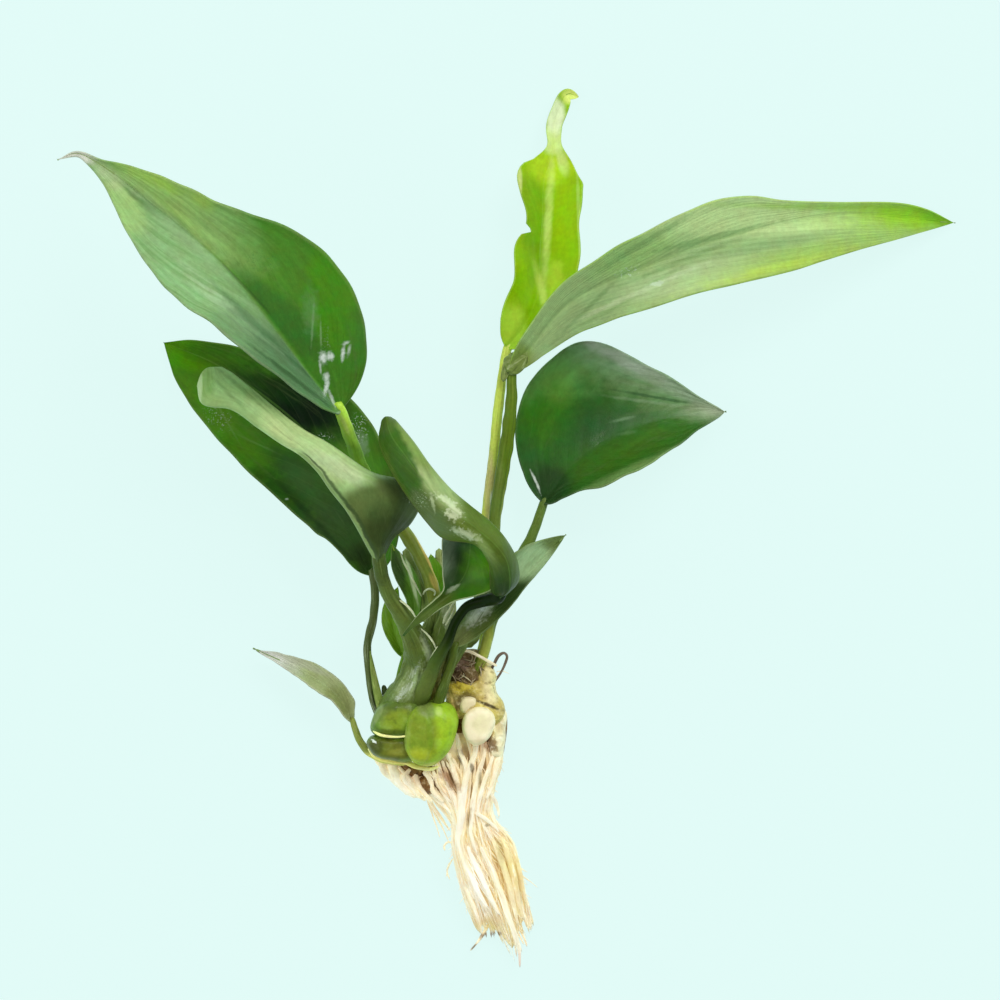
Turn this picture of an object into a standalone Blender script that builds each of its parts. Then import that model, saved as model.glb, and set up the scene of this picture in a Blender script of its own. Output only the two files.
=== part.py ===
"""Bare-root anubias plant, lying on a flat surface.

Lengths in the tables are millimetres, +Z up, with the surface at z = 0 and the middle of the
plant's box over the origin. The roots point along -Y and the leaves fan out along +Y.
A blade's right half is the one on the right of someone who looks down on it from its base to
its tip. Blades that show their underside are rolled by about half a turn.
"""

import math

import bmesh
import bpy
import numpy as np
from mathutils import Vector

MM = 0.001
GAP = 0.35                       # clearance between pieces that touch
BLADE_THICKNESS = 0.9
BLADE_ROWS, BLADE_COLUMNS = 16, 6
SMALL_ROWS, SMALL_COLUMNS = 8, 4
ROLLED_COLUMNS = 10
STALK_STEP = 5.0                 # length of one ring of a stalk
FINE_STEPS = 400                 # points that a smooth path is measured with
ROOT_SEED = 7
ROOT_VOXEL = 1.1
ROOT_KEPT = 0.12                 # share of the fused roots' faces that is kept

GREEN, DARK, LIME = (0.06, 0.20, 0.03), (0.03, 0.12, 0.02), (0.30, 0.55, 0.03)
OLIVE, PALE, YELLOW = (0.16, 0.24, 0.06), (0.45, 0.55, 0.22), (0.55, 0.50, 0.12)
CREAM, BROWN, LEAFY = (0.80, 0.68, 0.45), (0.20, 0.12, 0.06), (0.25, 0.42, 0.05)

# Each blade: midrib from base to tip; half widths at equal steps along it; degrees of roll,
# of fold (left, right) at the midrib, and of curl (left, right) from midrib to margin, each
# at equal steps from base to tip.
BLADES = {
    "leaf_upper_left": dict(
        midrib=[(-43.5, 31.5, 31), (-50.5, 39.5, 37), (-59, 51, 42), (-73, 68.5, 44),
                (-91, 84, 40), (-106.5, 95.5, 31), (-111.5, 97.6, 28), (-116.4, 96, 27)],
        left=(16, 21.3, 22.5, 22.7, 19.2, 13.8, 7, 1.4),
        right=(18, 23.6, 24.4, 21.3, 15.6, 10.4, 5, 1.5),
        roll=(-36, -26, -12, 2, 8, 8), fold=(30, 30), curl=((26,), (26,)), colour=GREEN),
    "leaf_lower_left": dict(
        midrib=[(-35, -11.5, 13), (-37, 3, 11.5), (-44.5, 15, 9), (-53.5, 26.5, 6.5),
                (-64, 35.5, 4.5), (-77, 44, 2.5), (-90, 49.3, 0.8)],
        left=(9.6, 13.7, 16.8, 17.6, 17.3, 16, 11), right=(9, 14, 16, 15.5, 12, 8, 4),
        roll=(8, 6, 4), fold=(6, 8), curl=((10,), (16,)), colour=DARK),
    "leaf_rolled_left": dict(
        midrib=[(-33, -6.5, 38), (-37, -1, 41), (-40.5, 5, 43), (-44.5, 11, 45), (-50, 17, 46),
                (-60.5, 24, 47), (-70.5, 31, 46), (-77.5, 33.5, 43), (-81, 37.5, 36),
                (-80.5, 39.5, 28)],
        left=(26, 27, 23, 20, 18.5, 17.5, 15.5, 11), right=(10, 13, 15, 15, 14, 12, 9, 5),
        roll=(180,), fold=(6, 86), curl=((30, 60, 110, 125, 112, 75, 45), (6,)), colour=OLIVE),
    "leaf_rolled_middle": dict(
        midrib=[(-2, -16.4, 41), (-0.7, -12, 46.5), (-2.3, -6.6, 50), (-4.9, -2.8, 52),
                (-9, 1.1, 54), (-15.1, 5.9, 56), (-19.4, 12.1, 56), (-24.4, 19, 54),
                (-28.2, 24.8, 50), (-32, 29.3, 45)],
        left=(6.9, 6.9, 7.2, 8.2, 8.7, 7.5, 6.7, 6.6, 5.6),
        right=(6.9, 7.3, 8, 14, 12.5, 11.4, 10.6, 9.6, 8.4),
        roll=(180,), fold=(15, 15), curl=((80,), (80,)), colour=OLIVE),
    "leaf_reflexed": dict(
        midrib=[(-6, -7.5, 41), (-9.5, -12, 42), (-15, -16, 42.5), (-20.5, -21, 40.5),
                (-27, -27.5, 36)],
        left=(5, 6, 3, 1.6, 1.1, 0.7), right=(9, 10.5, 4.8, 1.6, 1.1, 0.7),
        roll=(0,), fold=(5, 5), curl=((10,), (15,)), colour=GREEN),
    "leaf_new_upright": dict(
        midrib=[(0, 47.5, 20), (4.5, 53.5, 20), (8, 62.5, 19), (8.5, 73, 17.5), (9, 82, 15),
                (9.5, 91, 11.5), (12, 99.5, 8), (11.5, 106, 5), (12.5, 110, 3.5), (15, 114, 2.2),
                (18.5, 113.5, 1.4)],
        left=(6, 7.8, 7.6, 7, 5.2, 4.8, 6.6, 7, 2, 1.6, 1.6),
        right=(5, 8, 10, 11, 10.6, 10.8, 11, 8, 2, 1.7, 1.7),
        roll=(6, 0, -6), fold=(14, 14), curl=((16,), (16,)), colour=LIME),
    "leaf_long_right": dict(
        midrib=[(1, 41.5, 25), (6, 47.5, 27), (15, 58, 30), (24, 63.5, 32), (35.5, 68, 33),
                (48.5, 73.4, 31), (67, 78.6, 25), (89, 82, 15), (117, 80.6, 0.9)],
        left=(6.5, 10.5, 12.7, 12.7, 9.6, 5.8, 5.2), right=(6.5, 10, 12, 12, 12, 10, 5.8),
        roll=(-16, -18, -16), fold=(22, 18), curl=((22,), (18,)), colour=GREEN),
    "leaf_heart_right": dict(
        midrib=[(9.5, 7.5, 12), (16, 16, 13), (26.5, 23.5, 13), (39.5, 29, 11), (57, 31, 7)],
        left=(14.5, 26, 29.3, 22.4, 13.5, 6.6), right=(11, 17, 19.2, 17.8, 12.5, 6.4),
        roll=(26, 20, 12), fold=(22, 26), curl=((22,), (26,)), colour=DARK),
    "leaf_small_right": dict(
        midrib=[(-13.5, -29.5, 30), (-7.5, -23.5, 31), (-2, -18.5, 31), (3, -13, 30),
                (8.5, -7.5, 28), (15, -1, 24)],
        left=(3.5, 4.5, 6, 7, 6, 3), right=(3.2, 3.8, 3.7, 3.1, 2.6, 1.6),
        roll=(10, 0, -10), fold=(20, 20), curl=((20,), (20,)), colour=GREEN),
    "leaf_small_left": dict(
        midrib=[(-40.7, -49.5, 8), (-44.5, -43, 9), (-52.6, -37.2, 8), (-66.5, -30.8, 6)],
        left=(3, 3.3, 2.8, 2, 1.1), right=(3, 3.3, 2.8, 2, 1.1),
        roll=(-20,), fold=(24, 24), curl=((20,), (20,)), colour=PALE),
    "leaf_back_right": dict(
        midrib=[(-18.5, -19, 14), (-19, -13, 15), (-20, -6, 14)],
        left=(2, 2.8, 2.2), right=(2, 2.8, 2.2),
        roll=(0,), fold=(12, 12), curl=((10,), (10,)), colour=LIME),
    "leaf_back_middle": dict(
        midrib=[(-24, -22.5, 20), (-25, -15.5, 21), (-28, -9, 21), (-30, -3.5, 20)],
        left=(2, 2.8, 2.2), right=(2.4, 3.2, 2.4),
        roll=(0,), fold=(20, 20), curl=((10,), (10,)), colour=GREEN),
    "leaf_back_left": dict(
        midrib=[(-27, -32.5, 17), (-29.5, -26, 16), (-30, -19.5, 15), (-28.5, -14.5, 14)],
        left=(2.2, 3, 2.2), right=(2.2, 3, 2.2),
        roll=(0,), fold=(14, 14), curl=((10,), (10,)), colour=LIME),
}
ROLLED = ("leaf_rolled_left", "leaf_rolled_middle")
SMALL = ("leaf_reflexed", "leaf_small_right", "leaf_small_left", "leaf_back_right",
         "leaf_back_middle", "leaf_back_left")

# Each stalk: from its blade's base to inside the rhizome, with the radius at equal steps.
STALKS = {
    "stalk_upper_left": dict(
        route=[(-43.5, 31.5, 31), (-42.5, 29, 29), (-40.5, 23.5, 24.5), (-37.5, 15.5, 20.5),
               (-33, 8, 19.5), (-28, 1.5, 20), (-23, -6.5, 21), (-19.5, -15, 21),
               (-18.5, -23, 20.5), (-19, -31, 19), (-20.5, -38.5, 17.5), (-21, -48, 16)],
        radius=(1.2, 1.5, 1.8, 1.8, 2.0), colour=LIME),
    "stalk_lower_left": dict(
        route=[(-35, -11.5, 13), (-34.5, -16.5, 13), (-35, -23, 13), (-36.5, -29.5, 13),
               (-36, -37.5, 14), (-35, -44, 14), (-33, -49, 15)],
        radius=(1.1, 1.0, 0.9, 1.1, 1.4), colour=DARK),
    "stalk_rolled_left": dict(
        route=[(-33, -7, 37.5), (-32, -12, 35.5), (-30, -18, 33), (-26.5, -24, 30),
               (-24.5, -29.5, 27), (-25, -35.5, 23), (-27, -42, 20), (-28, -49, 18)],
        radius=(1.2, 1.5, 2.1, 2.8, 3.4), colour=OLIVE),
    "stalk_rolled_middle": dict(
        route=[(-2.4, -17, 40.6), (-5.5, -17.8, 37), (-10.5, -19.5, 35.5), (-13.5, -23.5, 34.5),
               (-15.5, -28.5, 33), (-18.5, -33, 31), (-21.5, -38.5, 28.5), (-24, -44.5, 26),
               (-24.5, -50, 21)],
        radius=(1.6, 1.7, 1.4, 1.3, 1.5), colour=DARK),
    "stalk_reflexed": dict(
        route=[(-5.6, -7, 40.6), (-5.2, -8.5, 36.5), (-6.5, -12.5, 30.5), (-8.5, -18.5, 27),
               (-11, -25.5, 25.5), (-13.5, -32, 24.5), (-16, -40, 22.5), (-19, -49, 18)],
        radius=(0.8, 0.8, 0.9), colour=GREEN),
    "stalk_new_upright": dict(
        route=[(0, 47.5, 20), (-1.2, 41.5, 20), (-2.2, 34, 20), (-3.8, 18.5, 19),
               (-5.5, 4, 18), (-6, -7.5, 17), (-5.5, -18, 15.5), (-6, -28.5, 14.5),
               (-8, -37, 14)],
        radius=(1.1, 1.3, 1.3, 1.4, 1.5), colour=YELLOW),
    "stalk_long_right": dict(
        route=[(1, 41.5, 25), (1, 34, 24), (-0.5, 21, 23), (-3, 5.5, 22), (-4, -7.5, 21),
               (-4.5, -18, 20), (-5, -27, 19), (-9.5, -38, 17)],
        radius=(1.1, 1.3, 1.3, 1.3, 1.5), colour=OLIVE),
    "stalk_heart_right": dict(
        route=[(9.5, 7.5, 12), (8, 3, 12), (6, -2, 12), (3, -7.5, 12), (0, -15.5, 11.5),
               (-2, -23, 11), (-3, -29.5, 11), (-6, -37, 11.5)],
        radius=(2.0, 1.3, 1.2, 1.3), colour=GREEN),
    "stalk_small_right": dict(
        route=[(-13.5, -29.5, 30), (-14.5, -34, 28.5), (-16.5, -39.5, 26.5),
               (-18, -45, 25), (-18.5, -51, 22)],
        radius=(0.9, 0.9, 1.0), colour=GREEN),
    "stalk_small_left": dict(
        route=[(-40.7, -49.5, 8), (-39.5, -52.5, 9), (-38, -55.5, 10), (-36, -57.5, 12),
               (-31, -57.5, 14)],
        radius=(0.6, 0.8, 1.0), colour=OLIVE),
    "stalk_back_right": dict(
        route=[(-18.5, -19, 14), (-17, -26, 13.5), (-14.5, -34, 13), (-11, -42, 13)],
        radius=(0.6, 0.8, 0.9), colour=LIME),
    "stalk_back_middle": dict(
        route=[(-24, -22.5, 20), (-22.5, -28.5, 17), (-22.5, -36, 14.5), (-24, -49, 14)],
        radius=(0.7, 0.8, 0.9), colour=LIME),
    "stalk_back_left": dict(
        route=[(-27, -32.5, 17), (-28, -36.5, 15), (-28.6, -41.5, 13.5), (-28.8, -49, 13.5)],
        radius=(0.7, 0.8, 0.9), colour=LIME),
}

BACK_STALKS = ("stalk_new_upright", "stalk_long_right", "stalk_heart_right", "stalk_back_right")

# The woody pieces and the free roots. A piece is cut back from the bodies that it is seated on.
WOODY = {
    "rhizome": dict(
        route=[(-35, -52, 15), (-33, -52, 15), (-27, -52.5, 16), (-20, -53, 17),
               (-16, -53, 17), (-12.8, -53, 17)],
        radius=(4.8, 7.0, 7.2, 7.8, 8.9, 8.6, 7.4, 3.6), sides=14, step=2.6, colour=LEAFY, seats=()),
    "rhizome_back": dict(
        route=[(-14, -46.5, 12), (-11, -42.5, 13), (-8, -39.5, 13.5), (-5.5, -34, 13.5)],
        radius=(4.5, 6.6, 6.2, 4.8, 2.5), sides=12, step=2.6, colour=YELLOW, seats=("rhizome",)),
    "rhizome_stub": dict(
        route=[(-8, -47, 10), (-7.6, -50, 13.5), (-7.5, -50.8, 17), (-7.5, -50.8, 21)],
        radius=(4.2, 4.6, 4.8), sides=14, step=3.0, colour=CREAM, seats=("rhizome", "rhizome_back")),
    "stub_small": dict(
        route=[(-10, -43.5, 14), (-10, -43.2, 17), (-10, -43, 20.5)],
        radius=(2.0, 2.2, 1.8), sides=10, step=2.5, colour=CREAM,
        seats=("rhizome", "rhizome_back", "rhizome_stub")),
    "bud_left": dict(
        route=[(-31.2, -40.5, 14.5), (-31, -43, 15), (-30.8, -48, 15.5)],
        radius=(0.4, 1.0, 1.1), sides=8, step=1.8, colour=DARK, seats=("rhizome",)),
    "sheath_left": dict(
        route=[(-34, -36, 16.3), (-33.2, -41, 16.5), (-32.6, -48, 16.5)],
        radius=(0.3, 0.9, 1.0), sides=8, step=3.0, colour=PALE, seats=("rhizome",)),
    "root_loop": dict(
        route=[(-6, -41, 17.5), (-3.5, -38.5, 16), (-2, -36, 15.5), (-1, -33.5, 15.5),
               (-1.2, -32, 15), (-3, -32, 14)],
        radius=(0.6, 0.5, 0.35), sides=6, step=1.6, colour=BROWN, seats=("rhizome_back",)),
    "root_back_strand": dict(
        route=[(-12.5, -31.5, 17.5), (-9.5, -32, 20.5), (-6, -33.5, 20), (-4, -36, 17),
               (-5, -39, 14)],
        radius=(0.35, 0.45, 0.5), sides=6, step=2.0, colour=CREAM, seats=("rhizome_back",)),
}
# Roots grow matted together: strands spread over an oval that changes along the bundle.
BUNDLE = dict(
    centre=[(-6.5, -44), (-9, -52), (-15, -61), (-14, -68.5), (-9.5, -76), (-6.5, -82.5),
            (-4.4, -89), (-2.1, -98), (-0.7, -104.5), (1.1, -109.5), (2.8, -115)],
    half_width=(6, 7.5, 14.2, 12, 6.2, 8, 9, 9, 8, 5.5, 2),
    half_depth=(4, 6, 7, 7, 5.5, 5, 4.6, 4.2, 3.4, 2.2, 0.6),
    strands=26, thickest=1.5, thinnest=0.5, wander=0.10, lift=1.0)
# Roots that stand out from the mat on its left: two blunt nubs and a thin one.
SIDE_ROOTS = dict(
    route=[[(-26, -57, 9), (-25, -63.5, 8), (-23.5, -67.5, 6.5)],
           [(-31, -56, 9), (-29.8, -61, 8), (-28, -65, 7)],
           [(-22.5, -63, 8), (-21, -68, 6), (-19, -74.5, 4), (-17.5, -80, 2.5)]],
    radius=((2.4, 2.9, 2.0), (2.0, 2.4, 1.6), (1.4, 1.2, 0.8)))


def clear_scene() -> None:
    """Removes every object that the file holds."""
    for thing in list(bpy.data.objects):
        bpy.data.objects.remove(thing)


def smooth(places, values, wanted):
    """Values of a smooth curve through (places, values), read at the wanted places."""
    places, values = np.asarray(places, float), np.asarray(values, float)
    if len(values) == 1:
        return np.repeat(values, len(wanted), axis=0)
    slopes = np.gradient(values, places, axis=0)
    wanted = np.clip(wanted, places[0], places[-1])
    span = np.clip(np.searchsorted(places, wanted, side="right") - 1, 0, len(places) - 2)
    width = places[span + 1] - places[span]
    u = (wanted - places[span]) / width
    if values.ndim > 1:
        u, width = u[:, None], width[:, None]
    return ((2 * u**3 - 3 * u**2 + 1) * values[span] + (u**3 - 2 * u**2 + u) * width * slopes[span]
            + (3 * u**2 - 2 * u**3) * values[span + 1] + (u**3 - u**2) * width * slopes[span + 1])


def steady(values, wanted):
    """A smooth curve through values at equal steps from 0 to 1, read at the wanted places."""
    return smooth(np.linspace(0, 1, len(values)), values, wanted)


class Path:
    """A smooth line through points, read by the fraction of its length."""

    def __init__(self, points):
        points = np.array(points, float)
        steps = np.sqrt(np.linalg.norm(np.diff(points, axis=0), axis=1))
        knots = np.concatenate(([0], np.cumsum(steps)))
        self.line = smooth(knots, points, np.linspace(0, knots[-1], FINE_STEPS))
        lengths = np.linalg.norm(np.diff(self.line, axis=0), axis=1)
        self.run = np.concatenate(([0], np.cumsum(lengths)))
        self.length = self.run[-1]

    def at(self, fractions):
        """Points at fractions of the length."""
        wanted = np.asarray(fractions) * self.length
        return np.stack([np.interp(wanted, self.run, axis) for axis in self.line.T], axis=1)

    def tangents(self, fractions, reach=0.02):
        """Unit directions at fractions of the length."""
        ahead = self.at(np.clip(np.asarray(fractions) + reach, 0, 1))
        behind = self.at(np.clip(np.asarray(fractions) - reach, 0, 1))
        return unit(ahead - behind)


def unit(vectors):
    """Each row at length 1."""
    return vectors / np.linalg.norm(vectors, axis=1)[:, None]


def half_width(stations, t):
    """Half width at t: round at the base, pointed at the tip, through the stations."""
    places = np.arange(1, len(stations) + 1) / (len(stations) + 1)
    fullness = np.asarray(stations, float) / (np.sqrt(places) * (1 - places))
    return smooth(places, fullness, t) * np.sqrt(t) * (1 - t)


def blade_points(blade, t, side):
    """Places of blade points: t runs from base to tip, side from -1 (left) to 1 (right)."""
    path = Path(blade["midrib"])
    along = path.tangents(t)
    level = unit(np.cross(along, (0, 0, 1)))
    up = np.cross(level, along)
    roll = np.radians(steady(blade["roll"], t))[:, None]
    across = np.cos(roll) * level + np.sin(roll) * up
    normal = np.cos(roll) * up - np.sin(roll) * level
    right = side >= 0
    reach = np.abs(side)
    width = np.where(right, half_width(blade["right"], t), half_width(blade["left"], t))
    fold = np.radians(np.where(right, blade["fold"][1], blade["fold"][0]))
    curl = np.radians(np.where(right, steady(blade["curl"][1], t), steady(blade["curl"][0], t)))
    turn = curl * reach / 2
    chord = width * reach * np.sinc(turn / math.pi)
    out = np.where(right, 1, -1) * chord * np.cos(fold + turn)
    rise = chord * np.sin(fold + turn)
    return path.at(t) + out[:, None] * across + rise[:, None] * normal


def finish(name, mesh, colour, roughness=0.45):
    """Links a mesh as a named object with its own material."""
    thing = bpy.data.objects.new(name, mesh)
    bpy.context.scene.collection.objects.link(thing)
    mesh.shade_smooth()
    mesh.set_sharp_from_angle(angle=math.radians(50))
    material = bpy.data.materials.new(name)
    material.use_nodes = True
    shader = material.node_tree.nodes["Principled BSDF"]
    shader.inputs["Base Color"].default_value = (*colour, 1)
    shader.inputs["Roughness"].default_value = roughness
    shader.inputs["Metallic"].default_value = 0
    mesh.materials.append(material)
    return thing


def make_blade(name, blade):
    """One leaf blade: a grid bent along its midrib, given its thickness."""
    rows, columns = (SMALL_ROWS, SMALL_COLUMNS) if name in SMALL else (BLADE_ROWS, BLADE_COLUMNS)
    if name in ROLLED:
        columns = ROLLED_COLUMNS
    bm = bmesh.new()
    bmesh.ops.create_grid(bm, x_segments=columns, y_segments=rows, size=1)
    side = np.array([v.co.x for v in bm.verts])
    t = (1 - np.cos(math.pi * (np.array([v.co.y for v in bm.verts]) + 1) / 2)) / 2
    for vert, place in zip(bm.verts, blade_points(blade, t, side)):
        vert.co = Vector(place) * MM
    bmesh.ops.remove_doubles(bm, verts=bm.verts, dist=0.02 * MM)
    mesh = bpy.data.meshes.new(name)
    bm.to_mesh(mesh)
    bm.free()
    thing = finish(name, mesh, blade["colour"])
    solid = thing.modifiers.new("thickness", "SOLIDIFY")
    solid.thickness = BLADE_THICKNESS * MM
    solid.offset = 0
    return thing


def tube_mesh(name, centres, radii, sides):
    """A closed round tube through the centres, from a curve with a bevel and filled caps."""
    curve = bpy.data.curves.new(name, "CURVE")
    curve.dimensions = "3D"
    curve.bevel_depth = 1
    curve.bevel_resolution = (sides - 4) // 2
    curve.use_fill_caps = True
    spline = curve.splines.new("POLY")
    spline.points.add(len(centres) - 1)
    for point, centre, radius in zip(spline.points, centres, radii):
        point.co = (*(Vector(centre) * MM), 1)
        point.radius = radius * MM
    holder = bpy.data.objects.new(name, curve)
    bpy.context.scene.collection.objects.link(holder)
    graph = bpy.context.evaluated_depsgraph_get()
    mesh = bpy.data.meshes.new_from_object(holder.evaluated_get(graph))
    bpy.data.objects.remove(holder)
    bpy.data.curves.remove(curve)
    mesh.name = name
    return mesh


def tube(name, route, radius, sides, step, trim=0.0):
    """A tube along a smooth route; trim leaves out that length at its start."""
    path = Path(route)
    count = max(3, round(path.length / step) + 1)
    fractions = np.linspace(trim / path.length, 1, count)
    return tube_mesh(name, path.at(fractions), steady(radius, np.linspace(0, 1, count)), sides)


def cut_clear(thing, cutters):
    """Cuts a thing back from the bodies that it is seated on."""
    for cutter in cutters:
        cut = thing.modifiers.new(cutter.name, "BOOLEAN")
        cut.operation = "DIFFERENCE"
        cut.object = cutter


def make_clearance(name, piece):
    """A hidden body, a gap larger than the woody piece all round, that others are cut back from."""
    route = piece["route"]
    start, end = (unit(np.subtract(*pair)[None])[0] * GAP for pair in (route[:2], route[:-3:-1]))
    longer = [tuple(route[0] + start), *route[1:-1], tuple(route[-1] + end)]
    grown = tuple(radius + GAP for radius in piece["radius"])
    mesh = tube(name, longer, grown, piece["sides"], piece["step"])
    cutter = bpy.data.objects.new(name, mesh)
    bpy.context.scene.collection.objects.link(cutter)
    cutter.hide_render = True
    cutter.display_type = "WIRE"
    return cutter


def strand_routes():
    """Routes of the matted roots: a sunflower pattern over the bundle's changing oval."""
    random = np.random.default_rng(ROOT_SEED)
    count = BUNDLE["strands"]
    path = Path([(x, y, 0) for x, y in BUNDLE["centre"]])
    golden = math.pi * (3 - math.sqrt(5))
    for number in range(count):
        reach, turn = math.sqrt((number + 0.5) / count), number * golden
        left = math.cos(turn) * reach < -0.2
        t = np.linspace(0.19 if left else 0, random.uniform(0.78, 1), 14)
        width, depth = steady(BUNDLE["half_width"], t), steady(BUNDLE["half_depth"], t)
        phase, waves = random.uniform(0, 2 * math.pi, 2), random.uniform(1, 2.5)
        sway = BUNDLE["wander"] * np.sin(2 * math.pi * waves * t[:, None] + phase)
        place = path.at(t)
        place[:, 0] += width * (math.cos(turn) * reach + sway[:, 0])
        place[:, 2] = depth * (1 + math.sin(turn) * reach + sway[:, 1]) + BUNDLE["lift"]
        yield place


def make_root_mat(cutters):
    """The matted roots as one grown-together body."""
    bm = bmesh.new()
    thick, thin = BUNDLE["thickest"], BUNDLE["thinnest"]
    tubes = [tube_mesh("strand", route, np.linspace(thick, thin, len(route)), 6)
             for route in strand_routes()]
    tubes += [tube("side", route, radius, 10, 1.5)
              for route, radius in zip(SIDE_ROOTS["route"], SIDE_ROOTS["radius"])]
    for mesh in tubes:
        bm.from_mesh(mesh)
        bpy.data.meshes.remove(mesh)
    bmesh.ops.recalc_face_normals(bm, faces=bm.faces)
    mesh = bpy.data.meshes.new("root_mat")
    bm.to_mesh(mesh)
    bm.free()
    thing = finish("root_mat", mesh, CREAM, 0.6)
    fuse = thing.modifiers.new("fuse", "REMESH")
    fuse.mode = "VOXEL"
    fuse.voxel_size = ROOT_VOXEL * MM
    thin_out = thing.modifiers.new("thin_out", "DECIMATE")
    thin_out.ratio = ROOT_KEPT
    cut_clear(thing, cutters)


def main():
    """Builds every piece."""
    clear_scene()
    clearances = {name: make_clearance(name + "_clearance", WOODY[name])
                  for name in ("rhizome", "rhizome_back", "rhizome_stub")}
    for name, piece in WOODY.items():
        mesh = tube(name, piece["route"], piece["radius"], piece["sides"], piece["step"])
        cut_clear(finish(name, mesh, piece["colour"], 0.55), [clearances[s] for s in piece["seats"]])
    make_root_mat(clearances.values())
    for name, blade in BLADES.items():
        make_blade(name, blade)
    for name, stalk in STALKS.items():
        seat = "rhizome_back" if name in BACK_STALKS else "rhizome"
        mesh = tube(name, stalk["route"], stalk["radius"], 8, STALK_STEP, trim=0.8)
        cut_clear(finish(name, mesh, stalk["colour"]), [clearances[seat]])


main()
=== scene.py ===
"""Looks of a bare-root anubias plant that lies on a pale floor, seen from straight above.

The tables hold millimetres in the part's own frame, +Z up from the floor and +Y from the roots to the
leaves, or places that the camera sees: right, down and height, which the View turns into millimetres.
Colours are paint-chart colours, written rrggbb. A leaf's right half is the one on the right of someone
who looks down on it from its base to its tip, and a leaf that shows its underside is rolled by about
half a turn.
"""

import logging
import math
from dataclasses import dataclass
from enum import Enum
from functools import partialmethod
from typing import Any, Callable, Sequence

import bmesh
import bpy
import numpy as np
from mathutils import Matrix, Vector


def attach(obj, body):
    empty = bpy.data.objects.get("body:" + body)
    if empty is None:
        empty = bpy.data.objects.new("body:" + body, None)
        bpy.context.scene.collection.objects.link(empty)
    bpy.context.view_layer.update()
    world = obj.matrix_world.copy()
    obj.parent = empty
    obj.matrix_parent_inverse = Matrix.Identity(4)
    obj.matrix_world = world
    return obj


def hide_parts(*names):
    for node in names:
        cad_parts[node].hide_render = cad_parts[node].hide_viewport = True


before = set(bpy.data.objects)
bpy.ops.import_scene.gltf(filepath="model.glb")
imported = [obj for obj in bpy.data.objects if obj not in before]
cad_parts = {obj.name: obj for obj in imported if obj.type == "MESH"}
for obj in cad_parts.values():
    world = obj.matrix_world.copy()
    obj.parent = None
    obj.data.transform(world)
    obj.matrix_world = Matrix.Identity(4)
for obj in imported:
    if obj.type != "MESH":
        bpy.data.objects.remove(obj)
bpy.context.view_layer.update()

LOG = logging.getLogger("anubias")
MM = 0.001
SKIN = "skin"  # UV map of every skin: across or around it, and along it
TONE = "tone"  # one number for each strand of a bundle
WELD = 0.004  # points nearer than this are one, in mm
FINE_STEPS = 400  # points that a smooth line is read from
HALF_EDGE = (-0.02, 0.06)  # where a dab fades on its way over the midrib
STREAK_EDGE = (0.38, 0.6)  # noise above it is streak, below it is gap
SPECK_EDGE = (0.56, 0.66)
MARGIN_EDGE = (0.955, 0.99)
VEIN_BOW = 1.15  # above 1, side veins bend towards the tip
STEEP = 0.3  # sine of the angle to +Z below which a line counts as upright
LUMP_FACE = 0.55  # width of a lump's faces in mm
LUMP_COLUMNS = (20, 96)  # fewest and most of them around it
KNOBS = (1.1, 1.9, 0.7)  # waves of the knobbly relief, in radians for each mm
TURN = 2 * math.pi
UP = (0, 0, 1)

Point = tuple[float, float, float]
Place = tuple[float, float]
Numbers = Sequence[float]
Line = tuple[Point, ...]
Trace = tuple[Place, ...]


def paint(colour: str) -> tuple[float, ...]:
    """Turns a paint-chart colour, rrggbb, into the shader's linear colour with full opacity."""
    shares = [channel / 255 for channel in bytes.fromhex(colour)]
    return (*(s / 12.92 if s <= 0.04045 else ((s + 0.055) / 1.055) ** 2.4 for s in shares), 1.0)


@dataclass(frozen=True)
class View:
    """The camera's place straight above the plant, and how its picture maps to millimetres."""

    pixel: float = 0.26  # mm for one pixel of the picture, at the level below
    picture: int = 1000
    lens: float = 300.0
    sensor: float = 36.0
    aim: Place = (-2.0, 8.0)
    level: float = 15.0

    @property
    def away(self) -> float:
        """Height of the camera in mm."""
        return self.pixel * self.picture * self.lens / self.sensor + self.level

    def point(self, right: float, down: float, height: float) -> Point:
        """Finds the point in mm that shows at a place of the picture.

        Args:
            right: Pixels from the picture's left side.
            down: Pixels from its top.
            height: The point's height in mm.

        Returns:
            The point.
        """
        scale = self.pixel * (self.away - height) / (self.away - self.level)
        middle = self.picture / 2
        return (right - middle) * scale + self.aim[0], (middle - down) * scale + self.aim[1], height


VIEW = View()


def seen(*places: Point) -> Line:
    """Points in mm for places of the picture with their heights."""
    return tuple(VIEW.point(*place) for place in places)


# ---- shader helpers


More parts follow.
